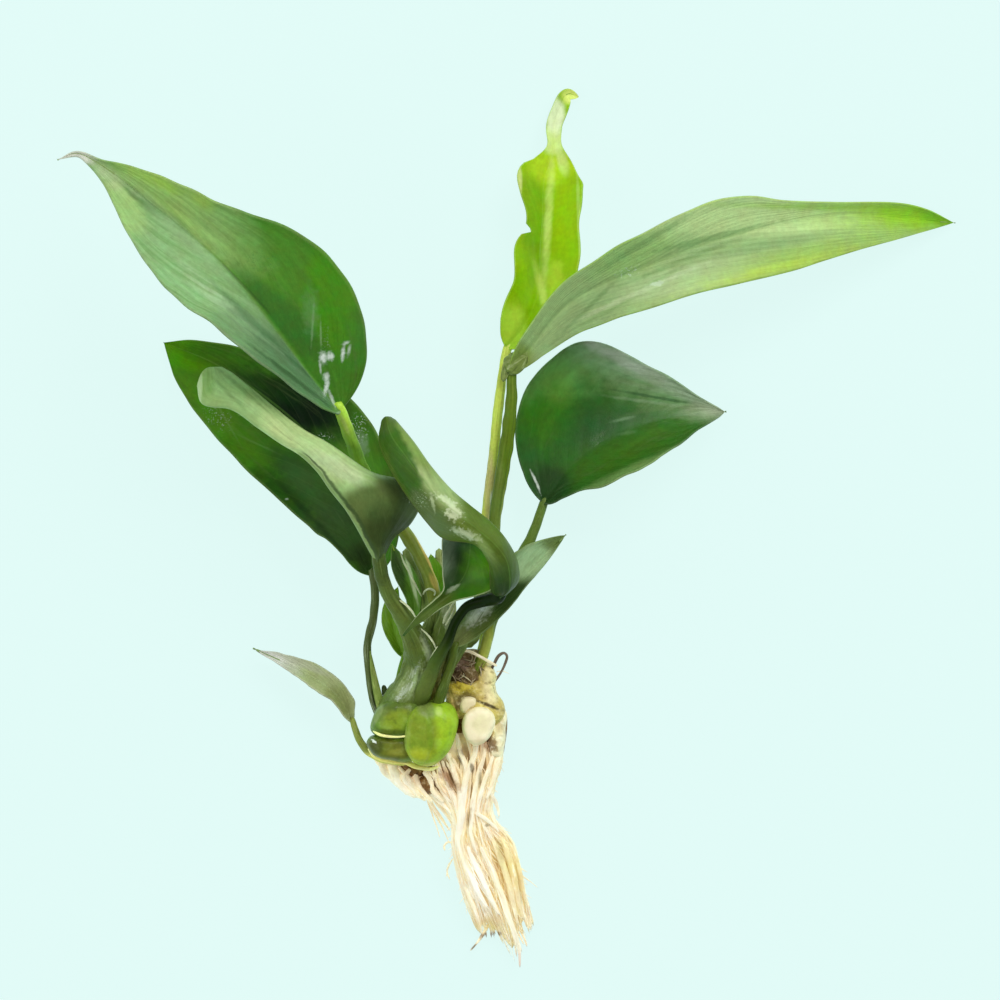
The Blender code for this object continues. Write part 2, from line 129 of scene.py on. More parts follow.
class Socket:
    """A number or a colour in a material, which takes part in Python expressions."""

    def __init__(self, graph: "Graph", socket: bpy.types.NodeSocket) -> None:
        """Wraps an output of a graph's node."""
        self.graph, self.socket = graph, socket

    def _with(self, operation: str, *others: Any) -> "Socket":
        """Adds a Math node on this number and the others."""
        return self.graph.node("Math", {"operation": operation}, dict(enumerate((self, *others))))

    def __rsub__(self, other: Any) -> "Socket":
        """Difference from a plain number."""
        return self.graph.node("Math", {"operation": "SUBTRACT"}, {0: other, 1: self})

    __add__ = __radd__ = partialmethod(_with, "ADD")
    __sub__ = partialmethod(_with, "SUBTRACT")
    __mul__ = __rmul__ = partialmethod(_with, "MULTIPLY")
    __pow__ = partialmethod(_with, "POWER")
    __abs__ = partialmethod(_with, "ABSOLUTE")
    fold = partialmethod(_with, "PINGPONG")  # goes up and down between 0 and a span

    def step(self, low: float, high: float) -> "Socket":
        """Rises smoothly from 0 at low to 1 at high."""
        return self.graph.node("MapRange", {"interpolation_type": "SMOOTHSTEP"},
                               {"Value": self, "From Min": low, "From Max": high})

    def within(self, span: Place, soft: float) -> "Socket | float":
        """Is 1 within a span and fades out over soft on both sides.

        Args:
            span: Low and high end. An end at -1 or 1, or beyond, is left open.
            soft: Half the width of the fade.

        Returns:
            The mask, or 1 if both ends are open.
        """
        low, high = span
        rise = self.step(low - soft, low + soft) if low > -1 else 1.0
        return rise if high >= 1 else (1 - self.step(high - soft, high + soft)) * rise


class Graph:
    """A material under construction, with one Principled shader."""

    side: Socket  # place across the skin or around it, -1 to 1
    t: Socket  # place along it, 0 to 1
    streak: Socket  # streaky noise

    def __init__(self, name: str) -> None:
        """Starts an empty material.

        Args:
            name: The material's name.
        """
        self.material = bpy.data.materials.new(name)
        self.material.use_nodes = True
        self.tree = self.material.node_tree
        self.place = self.node("TexCoord", out="Object")

    def node(self, kind: str, settings: dict | None = None, values: dict | None = None,
             out: int | str = 0) -> Socket:
        """Adds a node.

        Args:
            kind: The node's type, without its ShaderNode prefix.
            settings: Settings made first.
            values: What feeds its inputs, by name or number.
            out: Name or number of its output.

        Returns:
            The output.
        """
        made = self.tree.nodes.new("ShaderNode" + kind)
        for key, value in (settings or {}).items():
            setattr(made, key, value)
        self.feed(made, values or {})
        return Socket(self, made.outputs[out])

    def feed(self, node: bpy.types.Node, values: dict) -> None:
        """Sets or links a node's inputs.

        Args:
            node: The node.
            values: A value, a colour or a Socket for each, by name or number.
        """
        for key, value in values.items():
            if isinstance(value, Socket):
                self.tree.links.new(value.socket, node.inputs[key])
            else:
                node.inputs[key].default_value = paint(value) if isinstance(value, str) else value

    def skin(self) -> tuple[Socket, Socket]:
        """Finds the place on the skin, across and along it."""
        across = self.node("SeparateXYZ", values={0: self.node("UVMap", {"uv_map": SKIN})})
        self.side, self.t = across * 2 - 1, Socket(self, across.socket.node.outputs[1])
        return self.side, self.t

    def vector(self, x: Any, y: Any, z: Any) -> Socket:
        """Returns a vector of three numbers."""
        return self.node("CombineXYZ", values={0: x, 1: y, 2: z})

    def noise(self, grain: float, detail: float = 2.0, place: Socket | None = None,
              rough: float = 0.5) -> Socket:
        """Soft noise, 0 to 1.

        Args:
            grain: Size of its patches in mm, or a scale if a place is given.
            detail: Octaves.
            place: Where it is read, if not at the object's coordinates.
            rough: Weight of the finer octaves.

        Returns:
            The noise.
        """
        scale = 1 / (grain * MM) if place is None else grain
        return self.node("TexNoise", values={"Vector": place or self.place, "Scale": scale, "Detail": detail,
                                             "Roughness": rough}, out="Fac")

    def mix(self, share: Any, colour: Any, other: Any) -> Socket:
        """Mixes a share of another colour into a colour."""
        return self.node("Mix", {"data_type": "RGBA", "clamp_factor": True},
                         {0: share, 6: colour, 7: other}, 2)

    def finish(self, **values: Any) -> bpy.types.Material:
        """Sets the shader's inputs, named with _ for spaces, and gives the material."""
        self.feed(self.tree.nodes["Principled BSDF"],
                  {key.replace("_", " "): value for key, value in values.items()})
        return self.material


# ---- finishes


@dataclass(frozen=True)
class Dab:
    """A soft oval of colour, dabbed on at a place of the picture."""

    colour: str
    right: float
    down: float
    long: float  # half axes in pixels of the picture
    wide: float
    turn: float = 0.0  # angle of its long axis in degrees
    amount: float = 0.9
    soft: float = 0.4
    ragged: float = 0.35
    fray: float = 3.5  # size of its frayed outline's waves in mm
    half: int = 0  # -1 or 1 keeps it to the left or the right half of a leaf
    streaks: float = 0.0  # share of it that breaks up along the veins
    specks: bool = False  # whether only small specks of it show

    def lay(self, graph: Graph, under: Any, level: float) -> Socket:
        """Lays the dab over a colour.

        Args:
            graph: The material's graph.
            under: The colour below.
            level: Height of the surface in mm.

        Returns:
            The new colour.
        """
        rag = graph.noise(self.fray, 3)
        oval = graph.node("Mapping", {"vector_type": "TEXTURE"}, {
            "Vector": graph.place, "Rotation": (0, 0, math.radians(self.turn)),
            "Location": [value * MM for value in VIEW.point(self.right, self.down, level)],
            "Scale": (self.long * VIEW.pixel * MM, self.wide * VIEW.pixel * MM, 1)})
        reach = graph.node("VectorMath", {"operation": "LENGTH"}, {0: oval}, "Value")
        away = reach + (rag - 0.5) * (2 * self.ragged)
        mask = (1 - away.step(1 - self.soft, 1 + self.soft)) * self.amount
        if self.half:
            mask = mask * (graph.side * self.half).step(*HALF_EDGE)
        if self.streaks:
            mask = mask * (graph.streak.step(*STREAK_EDGE) * self.streaks + (1 - self.streaks))
        if self.specks:
            mask = mask * graph.noise(0.5, 2).step(*SPECK_EDGE)
        return graph.mix(mask, under, self.colour)


@dataclass(frozen=True)
class Wash:
    """A soft band of colour on a skin, by its place across (or around) and along it."""

    colour: str
    across: Place = (-1, 1)
    along: Place = (-1, 1)
    soft: float = 0.12
    amount: float = 1.0

    def lay(self, graph: Graph, under: Any, side: Socket, t: Socket) -> Socket:
        """Lays the band over a colour.

        Args:
            graph: The material's graph.
            under: The colour below.
            side: Place across the skin.
            t: Place along the skin.

        Returns:
            The new colour.
        """
        band, reach = side.within(self.across, self.soft), t.within(self.along, self.soft * 0.7)
        return graph.mix(reach * band * self.amount, under, self.colour)


@dataclass(frozen=True)
class Finish:
    """What all the plant's finishes share: a base colour, dabs and bands, gloss and relief."""

    name: str
    base: str
    dabs: tuple[Dab, ...] = ()
    washes: tuple[Wash, ...] = ()
    over: tuple[Wash, ...] = ()  # bands that cover the dabs
    level: float = 20.0
    dark: str = "18300e"
    dark_share: float = 0.25
    light: str = "aac378"
    light_share: float = 0.2
    mottle: float = 0.4
    roughness: float = 0.4
    wet: float = 0.04
    shine: float = 0.14  # strength of the plain reflection
    relief: float = 0.2
    glow: float = 0.0  # emission: painted light that stands in for light coming through thin tissue and lifts the shade

    def lay_all(self, graph: Graph, colour: Any) -> Any:
        """Lays all bands and dabs over a colour.

        Args:
            graph: The material's graph.
            colour: The colour below.

        Returns:
            The new colour.
        """
        rag = graph.noise(3.5, 3)
        near, far = graph.side + (rag - 0.5) * 0.2, graph.t + (rag - 0.5) * 0.06
        for wash in self.washes:
            colour = wash.lay(graph, colour, near, far)
        for dab in self.dabs:
            colour = dab.lay(graph, colour, self.level)
        for wash in self.over:
            colour = wash.lay(graph, colour, near, far)
        return colour

    def close(self, graph: Graph, colour: Any, fine: Socket, stripes: Socket,
              height: Socket) -> bpy.types.Material:
        """Adds the last mottling, the gloss and the relief.

        Args:
            graph: The material's graph.
            colour: The colour so far.
            fine: Fine noise.
            stripes: What lightens and darkens it, around 0.
            height: The relief.

        Returns:
            The material.
        """
        broad = graph.noise(4.5, 3, rough=0.6)
        value = (fine - 0.5) * self.mottle + (broad - 0.5) * self.mottle + stripes + 1.0
        colour = graph.node("HueSaturation", values={"Hue": (broad - 0.5) * 0.06 + 0.5, "Value": value,
                                                     "Color": colour})
        gloss = (fine - 0.5) * 0.2 + self.roughness
        normal = graph.node("Bump", values={"Height": height, "Distance": self.relief * MM, "Strength": 0.8})
        return graph.finish(Base_Color=colour, Roughness=gloss, Coat_Weight=self.wet, Coat_Roughness=0.15,
                            Specular_IOR_Level=self.shine, Emission_Color=colour,
                            Emission_Strength=self.glow, Normal=normal)


@dataclass(frozen=True)
class LeafFinish(Finish):
    """Waxy leaf tissue: dabs of colour, forward-sweeping veins and a fine grain."""

    dark_share: float = 0.1
    light_share: float = 0.08
    stripe: float = 0.45  # how much the stripes along the veins darken and lighten it
    vein_share: float = 0.05
    veins: float = 13.0  # side veins of one half
    sweep: float = 0.45  # how far a vein runs forward on its way to the margin
    rib: str = "6e9646"
    rib_share: float = 0.25
    rib_reach: float = 0.03
    margin: str = "788c50"
    margin_share: float = 0.4

    def material(self) -> bpy.types.Material:
        """Builds the material."""
        graph = Graph(self.name)
        side, t = graph.skin()
        fine = graph.noise(1.2, 4, rough=0.6)
        reach = abs(side)
        phase = t - reach ** VEIN_BOW * self.sweep
        streak = graph.noise(1, 3, graph.vector(phase * self.veins * 1.5, side * 1.2, 0), 0.6)
        thread = graph.noise(1, 3, graph.vector(phase * self.veins * 5, side * 2.5, 3), 0.6)
        smear = graph.noise(1, 4, graph.vector(side * 7, t * 2.5 - reach * self.sweep, 7), 0.65)
        graph.streak = streak
        colour = self.lay_all(graph, self.base)
        colour = graph.mix(streak.step(0.5, 0.72) * self.dark_share, colour, self.dark)
        colour = graph.mix((1 - smear.step(0.3, 0.48)) * self.light_share, colour, self.light)
        line = 1 - (phase * self.veins).fold(0.5).step(0, 0.08)
        fade = reach.step(0.02, 0.12) * (1 - reach.step(0.8, 1))
        colour = graph.mix(line * fade * self.vein_share, colour, self.light)
        rib = 1 - reach.step(self.rib_reach * 0.4, self.rib_reach)
        colour = graph.mix(rib * self.rib_share, colour, self.rib)
        colour = graph.mix(reach.step(*MARGIN_EDGE) * self.margin_share, colour, self.margin)
        stripes = (streak * 0.6 + smear * 1.4 + thread * 0.3 - 1.15) * self.stripe
        height = (phase * self.veins).fold(0.5) * 0.7 + thread * 0.3 + streak * 0.6 + fine * 0.5
        return self.close(graph, colour, fine, stripes, height)


@dataclass(frozen=True)
class FibreFinish(Finish):
    """Stalks, rhizome and roots: lengthwise fibres, and the own tone of each strand."""

    fibres: float = 5.0  # around; 0 for a skin with no lengthwise fibres
    runs: float = 5.0  # along
    grain: float = 2.0  # size of the mottling in mm where there are no fibres
    end: str | None = None  # what strands of the highest tone are coloured
    stains_and_shade: tuple[Dab, ...] = ()  # dabs that cover the fibres too: brown stains, and painted shade in the gaps between strands

    def material(self) -> bpy.types.Material:
        """Builds the material."""
        graph = Graph(self.name)
        side, t = graph.skin()
        tone = graph.node("Attribute", {"attribute_name": TONE}, out="Fac")
        fine = graph.noise(0.8, 3)
        streak = graph.noise(self.grain, 3)
        if self.fibres:
            place = graph.vector(side * self.fibres, t * self.runs + tone * 30, tone * 9)
            streak = graph.noise(1, 3, place, 0.6)
        graph.streak = streak
        colour = self.base if self.end is None else graph.mix(tone, self.base, self.end)
        colour = self.lay_all(graph, colour)
        colour = graph.mix(streak.step(0.52, 0.72) * self.light_share, colour, self.light)
        colour = graph.mix((1 - streak.step(0.3, 0.46)) * self.dark_share, colour, self.dark)
        for stain_or_shade in self.stains_and_shade:
            colour = stain_or_shade.lay(graph, colour, self.level)
        return self.close(graph, colour, fine, (streak - 0.5) * 0.3, streak + fine * 0.5)


@dataclass(frozen=True)
class FloorFinish:
    """Plain pale floor that keeps its shadows faint."""

    name: str
    colour: str
    glow: float  # share of its own light

    def material(self) -> bpy.types.Material:
        """Builds the material."""
        lit = [channel * (1 - self.glow) for channel in paint(self.colour)[:3]]
        return Graph(self.name).finish(
            Base_Color=(*lit, 1.0), Roughness=0.9, Specular_IOR_Level=0.0, Emission_Color=self.colour,
            Emission_Strength=self.glow)


# ---- shape helpers


def bend(u: Any, width: Any, start: Any, leave: Any, end: Any, arrive: Any) -> np.ndarray:
    """Smooth step from one value to the next.

    Args:
        u: Share of the step, 0 to 1.
        width: Its width.
        start, leave: The first value and the slope there.
        end, arrive: The second value and the slope there.

    Returns:
        The values.
    """
    return ((2 * u**3 - 3 * u**2 + 1) * start + (u**3 - 2 * u**2 + u) * width * leave
            + (3 * u**2 - 2 * u**3) * end + (u**3 - u**2) * width * arrive)


def smooth(places: Numbers, values: Any, wanted: Any) -> np.ndarray:
    """Values of a smooth curve through (places, values).

    Args:
        places: Rising places.
        values: A number or a point at each place, or one value for all.
        wanted: Where the curve is read.

    Returns:
        The values.
    """
    places, values = np.asarray(places, float), np.asarray(values, float)
    if len(values) == 1:
        return np.repeat(values, len(wanted), axis=0)
    slopes = np.gradient(values, places, axis=0)
    wanted = np.clip(wanted, places[0], places[-1])
    span = np.clip(np.searchsorted(places, wanted, side="right") - 1, 0, len(places) - 2)
    width = places[span + 1] - places[span]
    u = (wanted - places[span]) / width
    if values.ndim > 1:
        u, width = u[:, None], width[:, None]
    return bend(u, width, values[span], slopes[span], values[span + 1], slopes[span + 1])


def steady(values: Any, wanted: Any) -> np.ndarray:
    """A smooth curve through values at equal steps from 0 to 1, read at the wanted places."""
    return smooth(np.linspace(0, 1, len(values)), values, wanted)


def unit(vectors: np.ndarray) -> np.ndarray:
    """Each row at length 1."""
    return vectors / np.maximum(np.linalg.norm(vectors, axis=1), 1e-9)[:, None]


def lengths(points: np.ndarray) -> np.ndarray:
    """Lengths of the steps between points."""
    return np.linalg.norm(np.diff(points, axis=0), axis=1)


def sums(steps: np.ndarray) -> np.ndarray:
    """Running sums of the steps, from 0."""
    return np.concatenate(([0], np.cumsum(steps)))


class Path:
    """A smooth line through points, read by the fraction of its length."""

    def __init__(self, points: Any) -> None:
        """Measures the line through points in mm."""
        points = np.array(points, float)
        knots = sums(np.sqrt(lengths(points)))
        self.line = smooth(knots, points, np.linspace(0, knots[-1], FINE_STEPS))
        self.run = sums(lengths(self.line))
        self.length = float(self.run[-1])

    def at(self, fractions: Any) -> np.ndarray:
        """Points at fractions of the length."""
        wanted = np.asarray(fractions) * self.length
        return np.stack([np.interp(wanted, self.run, axis) for axis in self.line.T], axis=1)

    def tangents(self, fractions: Any, reach: float = 0.02) -> np.ndarray:
        """Unit directions at fractions of the length."""
        ahead, behind = (self.at(np.clip(np.asarray(fractions) + step, 0, 1)) for step in (reach, -reach))
        return unit(ahead - behind)

    def frames(self, fractions: Any) -> tuple[np.ndarray, np.ndarray]:
        """Directions square to the line that don't twist along it.

        Args:
            fractions: Where they are read.

        Returns:
            The sideways and the upward directions.
        """
        grid = np.linspace(0, 1, 60)
        tangents = self.tangents(grid)
        level = np.cross(tangents[0], UP)
        if np.linalg.norm(level) < STEEP:
            level = np.array((1.0, 0, 0))
        levels = []
        for tangent in tangents:
            level = level - (level @ tangent) * tangent
            level = level / np.linalg.norm(level)
            levels.append(level)
        side = unit(np.stack([np.interp(fractions, grid, axis) for axis in np.array(levels).T], axis=1))
        along = self.tangents(fractions)
        side = unit(side - np.sum(side * along, axis=1)[:, None] * along)
        return side, np.cross(side, along)


@dataclass(frozen=True)
class Lump:
    """A closed rounded form whose outline the camera sees."""

    outline: Trace
    low: float  # its heights in mm
    high: float
    sides: float = 0.6  # how round the outline's wall is; small is steep
    top: float = 0.9  # how round the top is; small is flat
    tilt: Place = (0, 0)  # rise of the whole for each mm to the right and up
    lumps: float = 0.012  # share by which its radius wanders
    rough: float = 0.0  # height of its knobbly relief in mm


def link(name: str, bm: bmesh.types.BMesh) -> bpy.types.Object:
    """Makes a smooth-shaded object of a mesh under construction.

    Args:
        name: Its name.
        bm: The mesh, which is used up.

    Returns:
        The object.
    """
    mesh = bpy.data.meshes.new(name)
    bm.to_mesh(mesh)
    bm.free()
    mesh.shade_smooth()
    thing = bpy.data.objects.new(name, mesh)
    bpy.context.scene.collection.objects.link(thing)
    return thing


class Skins:
    """Skins that make up one mesh. Each starts as a grid, whose points are then put in place."""

    def __init__(self, name: str) -> None:
        """Starts an empty mesh for the named piece."""
        self.name = name
        self.bm = bmesh.new()
        self.uv = self.bm.loops.layers.uv.new(SKIN)
        self.tone = self.bm.verts.layers.float.new(TONE)
        self.weights = self.bm.verts.layers.deform.new()

    def add(self, rows: int, columns: int, place: Callable, ends: bool = False, tone: float = 0.5,
            weigh: Callable | None = None) -> None:
        """Adds one skin.

        Args:
            rows: Faces along it.
            columns: Faces across or around it.
            place: Gives points in mm for places across, -1 to 1, and along, 0 to 1.
            ends: Whether rows crowd towards both ends.
            tone: The skin's own number.
            weigh: Gives the share of the full thickness there.
        """
        made = bmesh.ops.create_grid(self.bm, x_segments=columns, y_segments=rows, size=1)["verts"]
        side = np.array([v.co.x for v in made])
        t = (np.array([v.co.y for v in made]) + 1) / 2
        if ends:
            t = (1 - np.cos(math.pi * t)) / 2
        shares = np.ones(len(made)) if weigh is None else weigh(side, t)
        for vert, across, along, point, share in zip(made, side, t, place(side, t), shares):
            for loop in vert.link_loops:
                loop[self.uv].uv = (across / 2 + 0.5, along)
            vert.co = Vector(point) * MM
            vert[self.tone] = tone
            vert[self.weights][0] = share
        bmesh.ops.remove_doubles(self.bm, verts=made, dist=WELD * MM)

    def tube(self, route: Any, radius: Any, columns: int = 10, step: float = 1.5, tone: float = 0.5,
             flat: float = 1.0, lumps: float = 0.0, seed: int = 0, blunt: bool = False) -> None:
        """Adds a round skin along a route, closed at both ends.

        Args:
            route: Points in mm.
            radius: Radii in mm at equal steps.
            columns: Faces around it.
            step: Length of a face along it.
            tone: The skin's own number.
            flat: Height as a share of the width.
            lumps: Share by which its radius wanders.
            seed: Seed of the lumps.
            blunt: Whether the ends are as long as they are thick.
        """
        path = Path(route)
        rows = max(5, round(path.length / step))
        random = np.random.default_rng(seed)
        turns, waves = random.uniform(0, TURN, 4), random.uniform(0.5, 3.0, 4) * path.length / 12

        def place(side: np.ndarray, t: np.ndarray) -> np.ndarray:
            """Points of the tube."""
            sideways, upward = path.frames(t)
            size = steady(radius, t)
            room = np.minimum(t, 1 - t) * path.length
            if blunt:
                share = np.clip(room / np.maximum(size, 0.1), 0, 1)
                size = size * np.sqrt(np.clip(share * (2 - share), 0, 1))
            else:
                size = size * np.sqrt(np.clip(room / path.length * rows, 0, 1))
            for number, (turn, wave) in enumerate(zip(turns, waves)):
                size = size * (1 + lumps * 0.5 * np.sin(wave * 6 * t + turn + number * side * math.pi))
            angle = side * math.pi
            return (path.at(t) + (size * np.sin(angle))[:, None] * sideways
                    + (size * flat * np.cos(angle))[:, None] * upward)

        self.add(rows, columns, place, ends=blunt, tone=tone)

    def pebble(self, lump: Lump, tone: float = 0.5, seed: int = 0) -> None:
        """Adds a lump, with its own number and the seed of its waves."""
        low, high = lump.low, lump.high
        ring = np.array(seen(*((right, down, (low + high) / 2) for right, down in lump.outline)))
        closed = np.concatenate((ring[-2:], ring, ring[:3]))
        places = sums(lengths(closed))
        start, end = places[2], places[-3]
        middle = ring.mean(axis=0)
        turns = np.random.default_rng(seed).uniform(0, TURN, 3)

        def place(side: np.ndarray, t: np.ndarray) -> np.ndarray:
            """Points of the pebble."""
            edge = smooth(places, closed, start + (side + 1) / 2 * (end - start))
            reach = np.clip(np.sin(math.pi * t), 0, 1) ** lump.sides
            for number, turn in enumerate(turns):
                wave = np.sin((number * 2 + 3) * side * math.pi + turn + 5 * t)
                reach = reach * (1 + lump.lumps / (number + 1) * wave)
            points = middle + (edge - middle) * reach[:, None]
            level = np.cos(math.pi * t)
            points[:, 2] += -np.sign(level) * np.abs(level) ** lump.top * (high - low) / 2
            points[:, 2] += (points[:, :2] - middle[:2]) @ np.array(lump.tilt)
            for number, turn in enumerate(turns):
                wave = points @ np.array(KNOBS[number:] + KNOBS[:number]) * (1 + number)
                points[:, 2] += lump.rough * np.sin(wave + turn) * np.sin(math.pi * t) / (1 + number)
            return points

        columns = int(np.clip((end - start) / LUMP_FACE, *LUMP_COLUMNS))
        self.add(max(14, columns // 2), columns, place, tone=tone)

    def dress(self, slot: str, nodes: Sequence[str], *finishes: Any, thickness: float = 0.0) -> None:
        """Closes the mesh and makes its dressed piece, riding on the plant's one body.

        Args:
            slot: The record's material slot; not used.
            nodes: The solids that it stands for.
            finishes: Finish of the outer side, and of the inner one if it differs.
            thickness: Thickness in mm given inwards, if any.
        """
        materials = [finish.material() for finish in finishes]
        if not thickness:
            bmesh.ops.recalc_face_normals(self.bm, faces=self.bm.faces)
        thing = link(self.name, self.bm)
        for material in materials:
            thing.data.materials.append(material)
        if thickness:
            flesh = thing.vertex_groups.new(name="flesh")
            solid = thing.modifiers.new("flesh", "SOLIDIFY")
            solid.thickness, solid.offset = thickness * MM, -1
            solid.vertex_group, solid.thickness_vertex_group = flesh.name, 0.02
            solid.material_offset = len(materials) - 1
            solid.material_offset_rim = 0
        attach(thing, "root")
        if nodes:
            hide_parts(*nodes)
        LOG.info("%s stands for %s", self.name, ", ".join(nodes) or "no solid of its own")


# ---- leaves


class Shows(Enum):
    """Which face of a leaf looks up."""

    UPPER = 0
    UNDER = 180


@dataclass(frozen=True)
class Nick:
    """A bite out of a leaf's margin: which half, where along it, its half length and its depth in mm."""

    half: int
    place: float
    reach: float
    depth: float


@dataclass
class Leaf:
    """What every leaf blade has: a skin, its thickness and its two faces."""

    name: str
    slot: str
    upper: LeafFinish
    under: LeafFinish
    rows: int = 120
    columns: int = 44
    flesh: float = 0.42  # thickness at the margin
    rib: float = 1.5  # thickness at the foot of the midrib

    def place(self, side: np.ndarray, t: np.ndarray) -> np.ndarray:
        """Points of the upper skin, by the place across and along it."""
        raise NotImplementedError

    def flesh_share(self, side: np.ndarray, t: np.ndarray) -> np.ndarray:
        """Thickness as a share of the rib's: thick along the midrib, thin at the margin."""
        keel = np.exp(-(side * 10) ** 2) * np.clip(1 - 1.05 * t, 0, 1)
        return (self.flesh + (self.rib - self.flesh) * keel) / self.rib * np.clip((1 - t) * 25, 0.12, 1)

    def build(self) -> None:
        """Makes the blade and dresses it."""
        skins = Skins("blade_" + self.name)
        skins.add(self.rows, self.columns, self.place, ends=True, weigh=self.flesh_share)
        skins.dress(self.slot, ["leaf_" + self.name], self.upper, self.under, thickness=self.rib)


@dataclass
class Blade(Leaf):
    """An open leaf blade, bent along its midrib."""

    midrib: Line = ()
    left: Numbers = ()
    right: Numbers = ()
    roll: Numbers = (0,)
    shows: Shows = Shows.UPPER
    fold: Place = (15, 15)
    curl: tuple[Numbers, Numbers] = ((15,), (15,))
    quilt: float = 0.10  # height of the swelling between side veins
    ripple: float = 0.25  # height of the waves along the margin
    ripples: float = 5.0
    nicks: tuple[Nick, ...] = ()
    tip: float = 1.0  # 1 for a pointed tip, less for a blunt one
    seed: int = 1

    def half_width(self, stations: Numbers, t: np.ndarray) -> np.ndarray:
        """Half width: round at the base, pointed at the tip, through stations at equal steps.

        Args:
            stations: Half widths in mm.
            t: Places along the blade.

        Returns:
            The half widths in mm.
        """
        places = np.arange(1, len(stations) + 1) / (len(stations) + 1)
        fullness = np.asarray(stations, float) / (np.sqrt(places) * (1 - places) ** self.tip)
        return smooth(places, fullness, t) * np.sqrt(t) * (1 - t) ** self.tip

    def place(self, side: np.ndarray, t: np.ndarray) -> np.ndarray:
        """Points of the upper skin.

        Args:
            side: Places across, -1 at the left margin and 1 at the right one.
            t: Places along, from the base to the tip.

        Returns:
            The points in mm.
        """
        path = Path(self.midrib)
        along = path.tangents(t)
        level = unit(np.cross(along, UP))
        up = np.cross(level, along)
        roll = np.radians(steady(self.roll, t) + self.shows.value)[:, None]
        across = np.cos(roll) * level + np.sin(roll) * up
        normal = np.cos(roll) * up - np.sin(roll) * level
        right, reach = side >= 0, np.abs(side)
        hand = np.where(right, 1, -1)
        width = np.where(right, self.half_width(self.right, t), self.half_width(self.left, t))
        for nick in self.nicks:
            bite = nick.depth * np.exp(-((t - nick.place) / nick.reach) ** 4)
            width = np.where(hand == nick.half, np.maximum(width - bite, 0.15 * width), width)
        fold = np.radians(np.where(right, self.fold[1], self.fold[0]))
        curl = np.radians(np.where(right, steady(self.curl[1], t), steady(self.curl[0], t)))
        turn, angle = curl * reach / 2, fold + curl * reach
        chord = width * reach * np.sinc(turn / math.pi)
        lift = self.lift(hand, reach, t, width)
        out = hand * (chord * np.cos(fold + turn) - lift * np.sin(angle))
        rise = chord * np.sin(fold + turn) + lift * np.cos(angle)
        return path.at(t) + out[:, None] * across + rise[:, None] * normal

    def lift(self, hand: np.ndarray, reach: np.ndarray, t: np.ndarray, width: np.ndarray) -> np.ndarray:
        """Relief of the upper skin: the rib's groove, swellings between the veins, a wavy margin.

        Args:
            hand: -1 on the left half and 1 on the right one.
            reach: Places from the midrib, 0, to the margin, 1.
            t: Places along.
            width: The half widths in mm.

        Returns:
            Heights in mm.
        """
        turns = np.random.default_rng(self.seed).uniform(0, TURN, 6)
        groove = -0.35 * np.exp(-(reach * width / 0.9) ** 2) * (1 - t)
        phase = (t - self.upper.sweep * reach**VEIN_BOW) * self.upper.veins
        swell = self.quilt * (np.abs(np.sin(math.pi * phase)) - 0.64) * np.sin(math.pi * reach**0.8)
        start = np.where(hand > 0, turns[0], turns[1])
        wave = self.ripple * np.sin(TURN * self.ripples * t + start) * reach**3
        wave = wave + 0.5 * self.ripple * np.sin(TURN * self.ripples * 2.3 * t + turns[2]) * reach**4
        broad = 0.35 * np.sin(5 * t + turns[3]) * np.sin(3.2 * reach * hand + turns[4])
        body = np.clip(width / 8, 0, 1)
        return 0.3 + groove + (swell + wave + broad) * body * np.sin(math.pi * t) ** 0.4


@dataclass
class FoldedBlade(Leaf):
    """A blade that is folded or rolled: a smooth skin through cross-sections from base to tip."""

    across: Numbers = (-1, 0, 1)
    along: Numbers = (0, 1)
    sections: tuple[Line, ...] = ()

    def place(self, side: np.ndarray, t: np.ndarray) -> np.ndarray:
        """Points of the upper skin.

        Args:
            side: Places across, from the first point of each section to the last.
            t: Places along, from the base to the tip.

        Returns:
            The points in mm.
        """
        table = np.array([seen(*section) for section in self.sections])
        columns = np.stack([smooth(self.along, table[:, number], t) for number in range(table.shape[1])])
        spots = np.asarray(self.across, float)
        rise = np.diff(columns, axis=0) / np.diff(spots)[:, None, None]
        slopes = np.concatenate((rise[:1], (rise[1:] + rise[:-1]) / 2, rise[-1:]))
        steep = 3 * np.minimum(np.abs(rise[1:]), np.abs(rise[:-1])) * (rise[1:] * rise[:-1] > 0)
        slopes[1:-1] = np.clip(slopes[1:-1], -steep, steep)
        span = np.clip(np.searchsorted(spots, side, side="right") - 1, 0, len(spots) - 2)
        row = np.arange(len(side))
        width = (spots[span + 1] - spots[span])[:, None]
        u = (side - spots[span])[:, None] / width
        return bend(u, width, columns[span, row], slopes[span, row], columns[span + 1, row],
                    slopes[span + 1, row])


@dataclass
class Stalk:
    """A leaf stalk from its blade's base into the rhizome."""

    name: str
    slot: str
    route: Line
    radius: Numbers
    finish: FibreFinish
    flat: float = 0.85
    lumps: float = 0.05

    def build(self) -> None:
        """Makes the stalk and dresses it."""
        skins = Skins("petiole_" + self.name)
        skins.tube(self.route, self.radius, columns=16, step=0.8, flat=self.flat, lumps=self.lumps,
                   seed=len(self.name))
        skins.dress(self.slot, ["stalk_" + self.name], self.finish)


GREEN_UNDER = LeafFinish(
    "underside_green", "708c4e", rib="96ac68", rib_share=0.7, rib_reach=0.05, roughness=0.5)
LIME_UNDER = LeafFinish("underside_lime", "96ba3c", rib="c8d682", wet=0.1, roughness=0.5)
# near-white colour of the painted glints, the wet highlights dabbed onto leaves, stalks and the rhizome; the
# sheath shreds also take it for their pale streaks
GLINT = "eef6ec"

